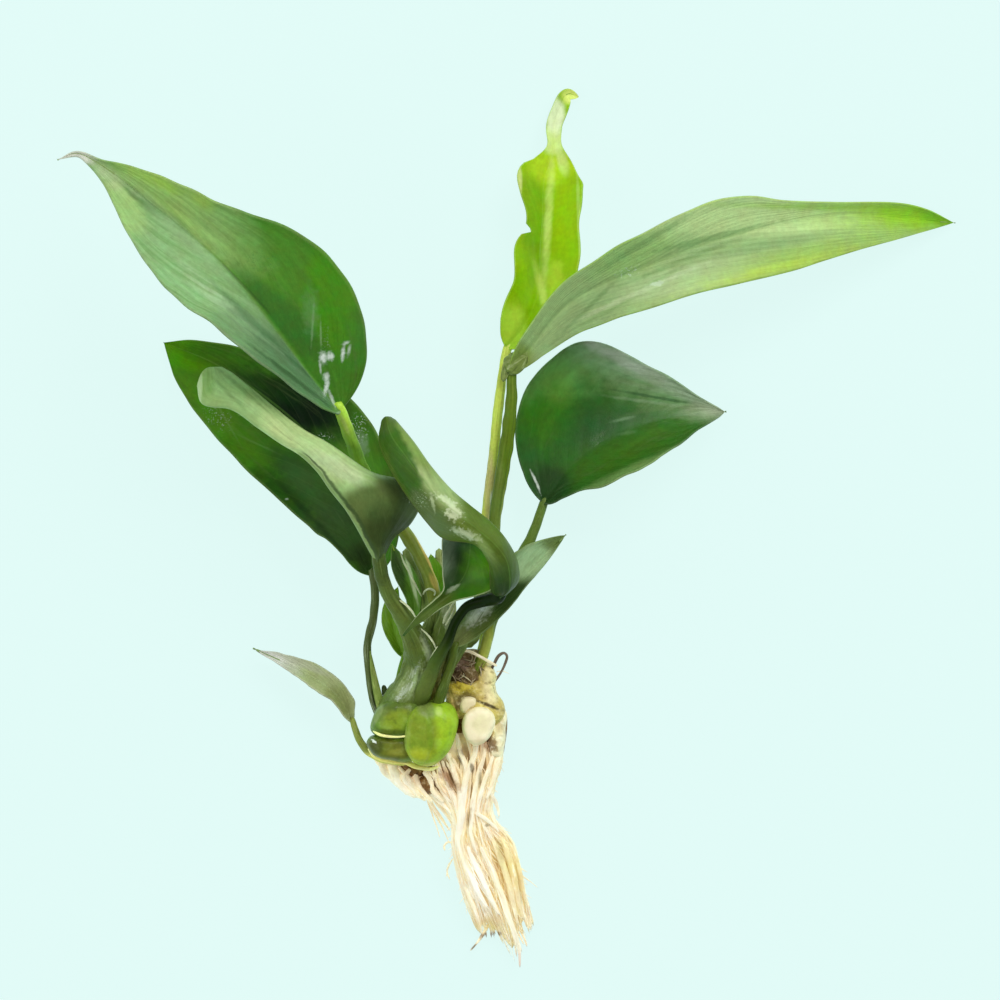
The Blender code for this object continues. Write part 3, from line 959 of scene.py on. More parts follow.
UPPER_LEFT_FACE = (
    # painted sheen: the pale silvery grey-green of the left half is light caught by that tilted half
    Dab("94b880", 200, 285, 150, 36, -42, 0.95, half=-1, streaks=0.35),
    Dab("b0c89e", 235, 312, 60, 8, -40, 0.6, 0.5, 0.7, 3.5, -1, 0.6),
    Dab("60885c", 306, 372, 46, 38, -42, half=-1),
    Dab("8ca886", 290, 358, 44, 4, -40, 0.6, 0.5, 0.8, half=-1),
    Dab("708e66", 250, 337, 38, 24, -42, 0.75, half=-1, streaks=0.4),
    Dab("5c7c56", 284, 362, 42, 20, -42, 0.7, half=-1, streaks=0.7),
    Dab("345430", 296, 380, 44, 2, -38, 0.7, 0.6, 0.7, half=-1),
    Dab("3c5c38", 310, 376, 34, 1.6, -42, 0.7, 0.6, 0.7, half=-1),
    Dab("467042", 262, 330, 60, 3, -44, 0.5, 0.6, 0.7, half=-1),
    Dab("a4c478", 120, 206, 34, 18, -55, 0.8, half=-1),
    Dab("50783c", 140, 197, 26, 5, -42, 0.7, 0.4, 0.6, half=-1),
    Dab("aac876", 176, 208, 92, 30, -38, 0.85, half=1, streaks=0.2),
    Dab("8eb46c", 232, 236, 44, 24, -42, 0.75, half=1, streaks=0.3),
    Dab("609632", 272, 262, 46, 26, -42, 0.5, 0.6, 0.6, half=1),
    Dab("a0c446", 150, 178, 34, 5, -22, 0.5, 0.8, 0.7), Dab("a8ca50", 164, 184, 14, 6, -30, 0.5, 0.8, 0.7),
    Dab("a8ca50", 205, 203, 12, 7, -30, 0.5, 0.8, 0.7), Dab("509410", 332, 296, 24, 66, 0, 0.75, half=1),
    Dab("3c722c", 284, 318, 62, 14, -45, 0.75, half=1, streaks=0.2),
    Dab("548c42", 262, 262, 16, 9, 0, 0.6, 0.5, 0.9, 1.8, 0, 0, True),
    # the 96b484 dab is painted light along the midrib, which mutes the shade in its crease
    Dab("b0c88c", 120, 180, 36, 2, -39, 0.4), Dab("96b484", 176, 228, 66, 6, -44, 0.55, 0.8, 0.5),
    Dab("3c6028", 246, 288, 34, 1.6, -46, 0.7), Dab("c4cea4", 104, 172, 20, 7, -45, 0.6, 0.9),
    # painted highlights: the GLINT dabs are wet glints near the base, and the two 96ba82 lines are thin rim
    # light
    Dab("dedcce", 70, 156, 22, 10, 0, 0.95), Dab(GLINT, 343, 353, 1.6, 5.5, -6, 1, 0.9, 0.8, 0.9),
    Dab(GLINT, 349, 350, 1.4, 4.5, -14, 0.6, 0.9, 0.8, 0.9),
    Dab(GLINT, 346, 343, 3, 1.4, 20, 0.7, 0.9, 0.8, 0.9), Dab(GLINT, 323, 358, 3, 5, 10, 1, 0.8, 0.9, 0.8),
    Dab(GLINT, 330, 356, 3, 3.6, 24, 1, 0.8, 0.9, 0.9), Dab(GLINT, 320, 366, 1, 6, 6, 0.7, 0.9, 0.7, 0.8),
    Dab(GLINT, 325, 340, 5, 12, 0, 0.25, 0.6, 1, 1, 0, 0, True),
    Dab("96ba82", 313, 324, 1.2, 18, -4, 0.5, 0.6, 1, 1.2),
    Dab("96ba82", 321, 334, 1, 12, 0, 0.5, 0.6, 1, 1.2),
    Dab(GLINT, 326, 377, 2.4, 4, 0, 0.85, 0.8, 0.9, 0.9),
    Dab(GLINT, 326, 387, 1.8, 7, -14, 1, 0.8, 0.9, 0.8),
    Dab(GLINT, 331, 397, 1.3, 8, 22, 0.75, 0.8, 0.9, 0.9), Dab("c4d8b4", 346, 408, 10, 2, 30, 0.5),
    Dab("78a068", 311, 312, 7, 20, 0, 0.4, 0.6, 0.9, 1.6))
LOWER_LEFT_FACE = (
    Dab("508e04", 178, 352, 34, 18, -15), Dab("36640e", 222, 356, 40, 12, -10, 0.8),
    Dab("548a1a", 214, 422, 66, 20, -47, 0.8, streaks=0.3),
    # the 96b674 dab is a painted pale sheen in the middle of the blade
    Dab("96b674", 236, 403, 26, 5, -45, 0.7, 0.5, 0.9, 1.5, 0, 0.5),
    Dab("8cac6e", 226, 420, 1, 24, 30, 0.22, 0.6, 0.9, 1.2),
    # the 041a04 and 14320a dabs are painted shadow, cast by the leaves that lie above this one
    Dab("8cac6e", 262, 446, 22, 1, -25, 0.22, 0.6, 0.9, 1.2), Dab("041a04", 302, 408, 54, 28, -24, 1, 0.6),
    Dab("14320a", 262, 386, 40, 12, -20, 0.8, 0.6), Dab("2e4e22", 318, 488, 60, 22, -42, 0.85),
    Dab("1e4214", 286, 500, 40, 16, -45, 0.7, 0.4, 0.6),
    Dab("405a32", 300, 480, 20, 12, -45, 0.35, 0.7, 0.8), Dab("344c26", 340, 534, 40, 30, -45, 0.85),
    Dab("182610", 364, 562, 9, 16, 20, 0.8, 0.8), Dab("182a12", 316, 522, 46, 2.4, -46, 0.5, 0.8, 0.8),
    Dab("406a16", 375, 430, 26, 26, 0, 0.7), Dab("52642c", 395, 500, 20, 30, 0, 0.7),
    # painted wet glints: the GLINT specks and the faint 96a68c patch
    Dab(GLINT, 358, 432, 9, 18, -10, 0.6, 0.6, 1, 1, 0, 0, True),
    Dab("96a68c", 360, 446, 8, 12, 0, 0.35, 0.6, 1, 1.2),
    Dab(GLINT, 322, 437, 12, 4, 0, 0.35, 0.6, 1, 1, 0, 0, True),
    Dab(GLINT, 218, 418, 14, 10, -40, 0.3, 0.6, 1, 1, 0, 0, True),
    Dab(GLINT, 287, 499, 1.6, 1, 0, 0.3, 0.6, 1.2, 0.6))
ROLLED_LEFT_UNDER = (
    Dab("9cc27e", 238, 388, 44, 18, -38, 0.85, streaks=0.3),
    Dab("6e8c4e", 226, 391, 26, 1.8, -44, 0.55, 0.9, 0.6, 2),
    Dab("688646", 238, 386, 26, 1.6, -40, 0.6, 0.8, 0.6, 2),
    Dab("749254", 262, 402, 34, 1.8, -38, 0.45, 0.8, 0.7, 2),
    # the bad08c and c4d4a4 dabs are painted light on the band that faces the light
    Dab("bad08c", 312, 450, 66, 17, -36, 0.95, streaks=0.15),
    Dab("c4d4a4", 340, 470, 30, 8, -30, 0.5, 0.4, 0.6), Dab("769a4a", 206, 382, 8, 14, 0, 0.7, streaks=0.4),
    Dab("bed49c", 199, 386, 2.5, 18, 0, 0.7), Dab("586a34", 386, 526, 58, 46, 8, 0.95, 0.18, 0.12),
    Dab("60703e", 400, 488, 20, 8, -20, 0.6, 0.5, 0.5), Dab("304018", 384, 532, 24, 24, -30, soft=0.6),
    # the d2dcbe specks are painted glints
    Dab("d2dcbe", 412, 500, 7, 5, 0, 0.5, 0.6, 1, 1, 0, 0, True))
ROLLED_MIDDLE_UNDER = (
    Dab("aabe7c", 430, 474, 50, 13, -54, 0.85, streaks=0.2), Dab("768e3c", 414, 446, 34, 10, -52, 0.8),
    Dab("909660", 446, 470, 46, 3, -50, 0.6), Dab("365e10", 399, 456, 50, 12, -65, 0.95, 0.25),
    Dab("4c6024", 386, 424, 10, 9, 0, 0.7), Dab("586a36", 424, 504, 16, 12, -50, 0.85),
    Dab("5c703e", 442, 522, 16, 12, -40, 0.7), Dab("5a7024", 490, 540, 40, 26, -50, 0.7),
    # the ced8ac, ced8b0, c4d2a0 and ced8b4 dabs are painted highlights on the rolled underside
    Dab("ced8ac", 453, 511, 10, 6, -50, 0.8, 0.4, 1.6, 1.1),
    Dab("ced8ac", 443, 498, 8, 3, -25, 0.7, 0.4, 1.6, 0.9),
    Dab("ced8b0", 466, 534, 13, 4, -22, 0.6, 0.5, 1.4, 0.9),
    Dab("c4d2a0", 433, 503, 1.4, 9, 12, 0.5, 0.6, 1.2, 0.9),
    Dab("ced8b4", 421, 500, 10, 9, 0, 0.5, 0.6, 1, 1, 0, 0, True),
    # the 96ac68 arc is a painted highlight
    Dab("96ac68", 487, 551, 20, 4, -55, 0.5, 0.7), Dab("4e6222", 512, 560, 7, 26, 0, 0.7),
    Dab("38521a", 503, 578, 16, 26, 0, 0.8, 0.9), Dab("1c380a", 506, 594, 20, 16, soft=0.8))
REFLEXED_FACE = (
    # painted light and shade of the cupped blade: 7e9074 is sheen on its left side, 20381a shade in the
    # midrib's valley
    Dab("7e9074", 448, 556, 9, 26, streaks=0.3), Dab("20381a", 463, 556, 13, 26, 12, soft=0.8),
    Dab("549004", 484, 576, 17, 26, 24, 0.95, 0.7), Dab("386c06", 466, 590, 26, 8, 20, 0.8),
    Dab("284a18", 452, 580, 8, 12, 0, 0.6), Dab("c8d8b4", 452, 589, 7, 2, 30, 0.6, 0.5, 0.9, 1),
    Dab("526624", 428, 613, 30, 9, 38, 0.85))
NEW_FACE = (
    Dab("b6d424", 548, 168, 24, 16, 0, 0.8, 0.4, 0.6), Dab("cee282", 562, 160, 5, 16, 14, 0.7),
    Dab("709e02", 533, 214, 13, 40, 6, 0.8, 0.4, 0.6, streaks=0.2), Dab("92bc02", 566, 212, 12, 40, 0, 0.7),
    Dab("76aa02", 520, 292, 14, 22, 20, 0.6, 0.4, 0.6), Dab("acd032", 550, 282, 12, 20, -20, 0.7, 0.4, 0.6),
    Dab("aad23c", 513, 330, 13, 24, 0, 0.8), Dab("d0e08c", 553, 138, 12, 14, 0, 0.85),
    Dab("dee8bc", 555, 114, 10, 18), Dab("dcea78", 572, 94, 10, 9, 0, 0.95),
    Dab("bede78", 579, 225, 2, 50, 2, 0.35), Dab("ceda82", 519, 182, 3, 16, 0, 0.8),
    Dab("aa963c", 520, 234, 4, 2, 0, 0.5, 0.4, 0.8), Dab("649600", 536, 262, 10, 30, 10, 0.6, 0.8, 0.6),
    # the c6dc6e and c4dc60 streaks are a painted highlight along the midrib
    Dab("c6dc6e", 548, 220, 3.5, 66, -4, 0.75, 0.8, 0.6, streaks=0.3),
    Dab("c4dc60", 542, 292, 3, 26, 14, 0.5, 0.8, 0.6))
LONG_RIGHT_FACE = (
    Dab("829e68", 586, 318, 58, 18, 40, 0.75, streaks=0.5),
    Dab("92b868", 632, 250, 46, 20, 24, 0.8, streaks=0.3),
    # c8e098 and aac088 are painted sheen on the upper face
    Dab("c8e098", 756, 214, 124, 22, 2, soft=0.6, streaks=0.25),
    Dab("aac088", 690, 280, 74, 14, 10, 0.8, streaks=0.3),
    Dab("9ec454", 800, 258, 84, 12, 14, 0.8, 0.9, streaks=0.2),
    Dab("b4ce3c", 776, 269, 76, 5, 15, 0.55, 1, 0.7),
    Dab("88a86a", 735, 247, 80, 8, 8, 0.7, 0.4, 0.6, streaks=0.4),
    Dab("789c5c", 712, 238, 60, 3, 14, 0.6, 0.4, 0.8), Dab("7ea060", 622, 302, 70, 3, 30, 0.5, 0.4, 0.8),
    Dab("b0aca0", 650, 228, 60, 3, 26, 0.5, 0.4, 0.6),
    Dab("96c446", 850, 206, 110, 3, 0, 0.7, 0.8, 0.5, streaks=0.3),
    Dab("a6d046", 886, 216, 64, 18, -4, 0.6, 1, 0.5, streaks=0.3),
    Dab("96cc16", 920, 214, 50, 12, -4, 0.9, 0.8, 0.4), Dab("6eb20a", 940, 214, 18, 6, -20, 0.6, 0.8, 0.4),
    Dab("709254", 640, 246, 50, 3, 32, 0.6, 0.7, 0.8, 2),
    Dab("709254", 680, 262, 56, 2.4, 22, 0.5, 0.7, 0.8, 2),
    Dab("c4d4a4", 640, 292, 56, 2.4, 24, 0.5, 0.7, 0.8, 2),
    Dab("6e8e54", 590, 306, 44, 2, 44, 0.6, 0.7, 0.8, 2), Dab("7a8e3a", 514, 360, 18, 16, 40),
    # the c8dabe and c4d6be dabs are painted glints
    Dab("c8dabe", 657, 284, 6, 2.5, 10, 0.5, 0.4, 0.9, 1),
    Dab("c4d6be", 628, 272, 12, 6, 20, 0.6, 0.5, 1, 1, 0, 0, True))
HEART_RIGHT_FACE = (
    Dab("3e7a14", 545, 396, 32, 50, 0, 0.75, 0.4, 0.5), Dab("6c9e54", 572, 362, 42, 26, 20, 0.85, 0.9, 0.6),
    Dab("609628", 556, 384, 14, 18, 0, 0.35, 0.8, 0.8), Dab("1e4620", 600, 430, 40, 22, -10, 0.5, 0.8, 0.6),
    # 8cae82 and c4cabc are painted sheen along the upper right margin
    Dab("8cae82", 630, 362, 78, 20, -28, 0.9, 0.8, 0.5, streaks=0.2),
    Dab("c4cabc", 650, 375, 84, 6, -28, 0.75, 0.7, 0.4, streaks=0.3),
    Dab("70965c", 660, 394, 50, 16, -14, 0.7, 0.8, 0.6, streaks=0.4),
    Dab("9eb492", 652, 382, 44, 2, -20, 0.45, 0.8, 0.9, 2),
    Dab("92aa84", 664, 392, 40, 2, -14, 0.35, 0.8, 0.9, 2),
    Dab("92aa84", 650, 402, 36, 1.6, -8, 0.35, 0.8, 0.9, 2),
    Dab("284e28", 660, 398, 44, 1.4, -10, 0.6, 0.6, 0.8, 2),
    Dab("82a078", 624, 419, 12, 1.4, 14, 0.4, 0.8, 0.9, 1.5),
    Dab("82a078", 628, 433, 7, 1.6, 10, 0.3, 0.8, 0.9, 1.5),
    Dab("829e5c", 640, 468, 70, 6, 24, 0.85, 0.6, 0.5), Dab("3e6810", 628, 448, 66, 16, 24, 0.7, 0.9, 0.6),
    Dab("aab292", 716, 410, 24, 9, 0, 0.55, 1, 0.6), Dab("223e1a", 550, 486, 20, 20, 0, 0.8),
    # the GLINT dabs are painted wet glints at the base
    Dab("386038", 530, 462, 10, 22, 10, 0.25, 0.8), Dab(GLINT, 533, 476, 0.8, 6, 24, 0.6, 0.7, 0.8, 0.8),
    Dab(GLINT, 537, 484, 1, 8, 20, 0.75, 0.7, 0.8, 0.8))
SMALL_RIGHT_FACE = (
    Dab("a6c28e", 532, 562, 24, 16, 40, streaks=0.2), Dab("607434", 556, 540, 14, 8, 20, 0.8),
    Dab("263e12", 512, 602, 30, 13, 45, 0.95), Dab("40521a", 478, 628, 26, 10, 35, 0.85),
    # the ced8be dab and the GLINT dab are painted silvery highlights on the twisted lower part
    Dab("ced8be", 480, 612, 18, 7, 45, 0.7, 0.5, 1, 1.2, 0, 0.6),
    Dab(GLINT, 487, 604, 10, 3, 45, 0.7, 0.5, 1.1, 1), Dab("7c844c", 456, 642, 16, 12, 40, 0.85, 0.7))
SMALL_LEFT_FACE = (
    Dab("8e965a", 338, 702, 16, 16, 0, 0.8), Dab("deded6", 272, 655, 26, 10, -30, soft=0.7),
    Dab("babea4", 300, 662, 34, 4, -24, 0.6))

BLADES: tuple[Leaf, ...] = (
    Blade("upper_left", "leaf", LeafFinish(
        "leaf_upper_left_face", "508828", UPPER_LEFT_FACE, level=39, veins=12, sweep=0.53, margin="808c5c",
        margin_share=0.3, stripe=0.55, vein_share=0), GREEN_UNDER, midrib=(
        (-43.5, 31.5, 31), (-50.5, 39.5, 37), (-59, 51, 42), (-73, 68.5, 44), (-91, 84, 40),
        (-106.5, 95.5, 31), (-111.5, 97.6, 28), (-116.4, 96, 27)),
        left=(9.6, 13.6, 17.2, 19.9, 21.2, 22.1, 23.4, 21.4, 18.9, 15.6, 11.7, 8.1, 5, 2.8, 1.2),
        right=(13.9, 18.1, 21.3, 23.9, 24.8, 24.6, 22.1, 17.3, 14.3, 13.1, 10.5, 7.5, 4.8, 1.7, 0.8),
        roll=(-36, -26, -12, 2, 8, 8), fold=(30, 30), curl=((26,), (26,)), rib=1.9, tip=0.55, seed=3),
    Blade("lower_left", "leaf_dark", LeafFinish(
        "leaf_lower_left_face", "46781c", LOWER_LEFT_FACE, level=6, veins=12, shine=0.05, wet=0,
        vein_share=0.02), GREEN_UNDER, midrib=(
        (-35, -11.5, 13), (-37, 3, 11.5), (-44.5, 15, 9), (-53.5, 26.5, 6.5), (-64, 35.5, 4.5),
        (-77, 44, 2.5), (-90, 49.3, 0.8)),
        left=(7.3, 11, 13.2, 14.2, 15.5, 16.6, 17.5, 18.1, 18, 17.3, 16.6, 15.2, 13.6, 11.2, 7.1),
        right=(6.8, 9, 11.8, 14, 15.4, 16, 16.1, 15.5, 13.9, 12, 10, 8.3, 6.6, 4.6, 2.8), roll=(8, 6, 4),
        fold=(6, 8), curl=((10,), (16,)), seed=5),
    FoldedBlade("rolled_left", "leaf_under", LeafFinish("leaf_rolled_left_face", "467024"), LeafFinish(
        "leaf_rolled_left_under", "92b26c", ROLLED_LEFT_UNDER, level=45, veins=12, sweep=0.5, over=(
        Wash("384c22", (0, 0.09), (0.06, 0.6), 0.03, 0.8),
        Wash("869e5c", (0.11, 0.5), (-1, 0.62), 0.02, 0.9)), rib_share=0, roughness=0.45, vein_share=0.02),
        across=(-1, -0.5, 0, 0.25, 1),
        along=(0, 0.08, 0.17, 0.27, 0.38, 0.5, 0.61, 0.72, 0.82, 0.91, 0.97, 1), sections=(
        ((381, 562, 38), (380, 562, 38.6), (378, 561, 38.6), (377, 561, 38), (378, 560, 36)),
        ((392, 539, 36), (383, 545, 40), (377, 550, 40.5), (371, 552, 39), (376, 545, 28)),
        ((410, 523, 35), (388, 526, 42.5), (366, 528, 42.5), (359, 530, 41), (366, 524, 27)),
        ((420, 500, 38), (386, 505, 44.5), (354, 508, 44), (347, 510, 42.5), (355, 503, 27)),
        ((404, 482, 41), (370, 486, 46), (338, 489, 45), (332, 491, 43.5), (342, 484, 28)),
        ((370, 472, 43), (345, 471, 47), (323, 468, 46), (317, 470, 44.5), (328, 464, 29)),
        ((330, 445, 44), (316, 450, 47.5), (305, 451, 47), (300, 454, 45.5), (310, 444, 30)),
        ((300, 428, 44), (291, 435, 47), (285, 439, 47), (280, 442, 45.5), (290, 432, 31)),
        ((272, 406, 43.5), (266, 415, 46), (261, 422, 46), (257, 426, 45), (266, 414, 32)),
        ((248, 386, 42), (240, 397, 44.5), (234, 404, 44.5), (230, 408, 43.5), (238, 398, 32)),
        ((230, 372, 39), (215, 382, 41.5), (204, 395, 41.5), (201, 401, 41), (207, 392, 33)),
        ((222, 367, 38), (211, 367, 39), (201, 374, 39), (197, 386, 39), (201, 388, 34))), columns=64,
        flesh=0.35, rib=0.8),
    FoldedBlade("rolled_middle", "leaf_under", LeafFinish("leaf_rolled_middle_face", "3c6822"), LeafFinish(
        "leaf_rolled_middle_under", "5a7026", ROLLED_MIDDLE_UNDER, level=53, veins=10, roughness=0.42,
        margin="605436", margin_share=0.7, vein_share=0.03, shine=0.1), across=(-1, -0.6, 0, 0.6, 1),
        along=(0, 0.08, 0.18, 0.3, 0.42, 0.52, 0.62, 0.72, 0.82, 0.91, 1), sections=(
        ((500, 598, 40), (502, 597, 41), (500, 596, 42), (498, 596, 41), (497, 596, 40)),
        ((505, 585, 36), (516, 583, 41), (508, 588, 46), (497, 592, 44), (492, 590, 41)),
        ((505, 562, 38), (517, 565, 44), (508, 568, 50), (497, 574, 50), (491, 576, 46)),
        ((495, 545, 40), (507, 543, 47), (498, 548, 53), (490, 556, 53), (489, 561, 50)),
        ((478, 528, 42), (490, 523, 49), (478, 530, 55), (472, 539, 54), (474, 543, 50)),
        ((458, 510, 42), (470, 507, 50), (458, 514, 56), (450, 528, 54), (445, 538, 48)),
        ((440, 493, 42), (450, 490, 51), (440, 500, 56.5), (432, 513, 54), (428, 522, 48)),
        ((422, 470, 42), (430, 467, 51), (422, 478, 56), (412, 490, 53), (407, 494, 48)),
        ((405, 446, 42), (413, 443, 50), (405, 455, 55), (395, 466, 52), (391, 468, 47)),
        ((393, 430, 43), (399, 426, 48), (392, 436, 52), (384, 445, 49), (381, 445, 46)),
        ((393, 420, 44), (391, 417, 46), (386, 416.5, 48), (382, 420, 46), (381, 423, 44))), columns=56,
        rib=0.7),
    FoldedBlade("reflexed", "leaf", LeafFinish(
        "leaf_reflexed_face", "2c541e", REFLEXED_FACE, level=40, veins=8, margin="bec896", margin_share=0.6,
        relief=0.1, vein_share=0, stripe=0.25), GREEN_UNDER,
        along=(0, 0.12, 0.28, 0.42, 0.52, 0.62, 0.75, 0.88, 1), sections=(
        ((490, 560, 44), (470, 540, 44), (452, 534, 44)), ((493, 575, 41), (470, 552, 41), (443, 536, 41)),
        ((492, 589, 42), (466, 572, 39), (442, 556, 40)), ((474, 596, 41), (457, 586, 38.5), (443, 576, 40)),
        ((456, 600, 40.5), (449, 595, 38.5), (444, 590, 40)),
        ((441, 608, 40), (437, 604, 39), (434, 601, 40)), ((427, 619, 39), (423, 615, 39), (421, 612, 39.5)),
        ((413, 628, 37.5), (411, 627, 37.5), (409, 626, 37.5)),
        ((404, 636.5, 36), (403, 636, 36), (402, 635.5, 36))), rows=60, columns=36, rib=0.7),
    Blade("new_upright", "leaf_new", LeafFinish(
        "leaf_new_face", "86b402", NEW_FACE, level=12, veins=14, sweep=0.3, light="bed846", dark="609200",
        rib_share=0, margin="b0d05a", shine=0.08, stripe=0.15, vein_share=0, relief=0.04), LIME_UNDER,
        midrib=(
        (0, 47.5, 20), (4.5, 53.5, 20), (8, 62.5, 19), (8.5, 73, 17.5), (9, 82, 15), (9.5, 91, 11.5),
        (12, 99.5, 8), (11.9, 106, 5), (13.2, 110, 3.5), (15.6, 114.2, 2.2), (18.5, 113.5, 1.4)),
        left=(6.3, 7.6, 7.5, 7.1, 7.2, 7, 4.6, 4.9, 6.7, 7.8, 4.1, 2, 2, 1.9, 1.8),
        right=(4.4, 6.6, 8.6, 10, 11.2, 11.2, 10.5, 11, 11.1, 10.3, 6.8, 2.2, 2.4, 2.7, 2.3),
        roll=(6, 0, -6), fold=(14, 14), curl=((16,), (16,)), quilt=0.02, rib=1.2, tip=0.5,
        nicks=(Nick(-1, 0.425, 0.012, 2.2), Nick(-1, 0.665, 0.014, 0.4)), seed=13),
    Blade("long_right", "leaf", LeafFinish(
        "leaf_long_right_face", "98b474", LONG_RIGHT_FACE, level=28, veins=14, sweep=0.75, rib_share=0.08,
        margin="96ba46"), GREEN_UNDER, midrib=(
        (1, 41.5, 25), (6, 47.5, 27), (15, 58, 30), (24, 63.5, 32), (35.5, 68, 33), (48.5, 73.4, 31),
        (67, 78.6, 25), (89, 82, 15), (117, 80.6, 0.9)),
        left=(4.2, 5, 6.4, 7.8, 10.1, 10.5, 11.7, 12.4, 10.2, 7, 5.3, 4.1, 4.1, 4.4, 3),
        right=(3.8, 6.6, 8.8, 9.8, 10.5, 11.1, 12, 12.7, 12.8, 12.5, 11.5, 10.1, 8.2, 5.8, 2.9),
        roll=(-12, -14, -12), fold=(12, 10), curl=((22,), (18,)), seed=15),
    Blade("heart_right", "leaf_dark", LeafFinish(
        "leaf_heart_right_face", "2e601e", HEART_RIGHT_FACE, level=12, veins=11, dark="183812", rib_share=0,
        margin="969c82", margin_share=0.12, vein_share=0, stripe=0.5), GREEN_UNDER,
        midrib=((9.5, 7.5, 12), (16, 16, 13), (26.5, 23.5, 13), (39.5, 29, 11), (57, 31, 7)),
        left=(9.3, 14.5, 19.9, 23.8, 26, 27.3, 28.2, 27.7, 24.6, 19.4, 14.5, 10.9, 7.5, 4.6, 2.3),
        right=(5.9, 9.4, 12.5, 16.6, 18.2, 18, 18.9, 18.6, 16.8, 15, 13.4, 10.7, 7.4, 4.9, 2.5),
        roll=(26, 20, 12), fold=(1, 3), curl=((57,), (60,)), ripple=0.1, seed=17),
    Blade("small_right", "leaf",
        LeafFinish("leaf_small_right_face", "688046", SMALL_RIGHT_FACE, level=29, veins=9), GREEN_UNDER,
        midrib=(
        (-13.5, -29.5, 30), (-7.5, -23.5, 31), (-2, -18.5, 31), (3, -13, 30), (8.5, -7.5, 28), (15, -1, 24)),
        left=(4.6, 5.8, 6.9, 7.6, 6.8, 3.8), right=(3.2, 3.3, 3, 2.5, 2, 1.2), roll=(10, 0, -10),
        fold=(20, 20), curl=((20,), (20,)), rows=60, columns=28, rib=1, seed=19),
    Blade("small_left", "leaf_pale", LeafFinish(
        "leaf_small_left_face", "aab680", SMALL_LEFT_FACE, level=7, veins=9, dark="70783e", margin="c8c4b0"),
        GREEN_UNDER, midrib=((-40.7, -49.5, 8), (-44.5, -43, 9), (-52.6, -37.2, 8), (-66.5, -30.8, 6)),
        left=(2.1, 2.7, 3.1, 3.3, 4.4, 4.3, 4, 3.7, 3.3, 2.7, 2.3, 1.8, 1.1, 0.8, 0.4),
        right=(1.9, 3.2, 3.2, 3.5, 3.7, 3.7, 3.7, 3.7, 3.3, 2.8, 2.5, 2, 1.8, 1.1, 0.4), roll=(-20,),
        fold=(24, 24), curl=((20,), (20,)), rows=60, columns=24, rib=0.8, seed=21),
    Blade("back_right", "leaf", LeafFinish("leaf_back_right_face", "629618", level=14, veins=7), LIME_UNDER,
        midrib=((-18.5, -19, 14), (-19, -13, 15), (-20, -6, 14)), left=(2, 2.8, 2.2), right=(2, 2.8, 2.2),
        fold=(12, 12), curl=((10,), (10,)), rows=36, columns=20, rib=0.7, seed=23),
    Blade("back_middle", "leaf", LeafFinish(
        "leaf_back_middle_face", "5c8a28", veins=7,
        dabs=(Dab("cedeaa", 411, 576, 2, 26, 14, 0.8), Dab("284214", 398, 575, 8, 26, 10, 0.8))),
        LIME_UNDER, midrib=((-24, -22.5, 20), (-25, -15.5, 21), (-28, -9, 21), (-30, -3.5, 20)),
        left=(2, 2.8, 2.2), right=(2.4, 3.2, 2.4), fold=(20, 20), curl=((10,), (10,)), rows=36, columns=20,
        rib=0.7, seed=25),
    Blade("back_left", "leaf", LeafFinish("leaf_back_left_face", "68961a", level=16, veins=7), LIME_UNDER,
        midrib=((-27, -32.5, 17), (-29.5, -26, 16), (-30, -19.5, 15), (-28.5, -14.5, 14)),
        left=(2.2, 3, 2.2), right=(2.2, 3, 2.2), fold=(14, 14), curl=((10,), (10,)), rows=36, columns=20,
        rib=0.7, seed=27))

LIME_STALK = FibreFinish("stalk_lime_skin", "6c9028")

STALK_UPPER_LEFT_SKIN = (
    Dab("d8bc64", 427, 556, 42, 2.2, -64), Dab("ceb25c", 434, 582, 10, 3, -66, 0.7),
    Dab("cee482", 345, 424, 2, 12, 24, 0.5))
STALK_ROLLED_LEFT_SKIN = (
    Dab("3c4c1e", 380, 572, 10, 16, 0, 0.6), Dab("5c6e2a", 412, 655, 9, 20, 0, 0.7),
    Dab("64763a", 402, 690, 26, 14, 40, 0.8, streaks=0.4),
    # the a0b27c dab and the GLINT dabs are painted wet highlights on the trunk
    Dab("a0b27c", 411, 684, 20, 9, 55, 0.85, 0.7, 1.4, 0.8, 0, 0.8),
    Dab(GLINT, 405, 691, 12, 3, 48, 0.4, 0.4, 1.6, 0.6, 0, 0.9),
    Dab(GLINT, 414, 672, 8, 2, 55, 0.3, 0.4, 1.6, 0.6, 0, 0.9),
    Dab("344618", 422, 680, 3, 16, 30, 0.5, 0.8, 1, 1), Dab("c4cea6", 428, 652, 3, 18, 18, 0.6, 0.6, 1, 0.9))

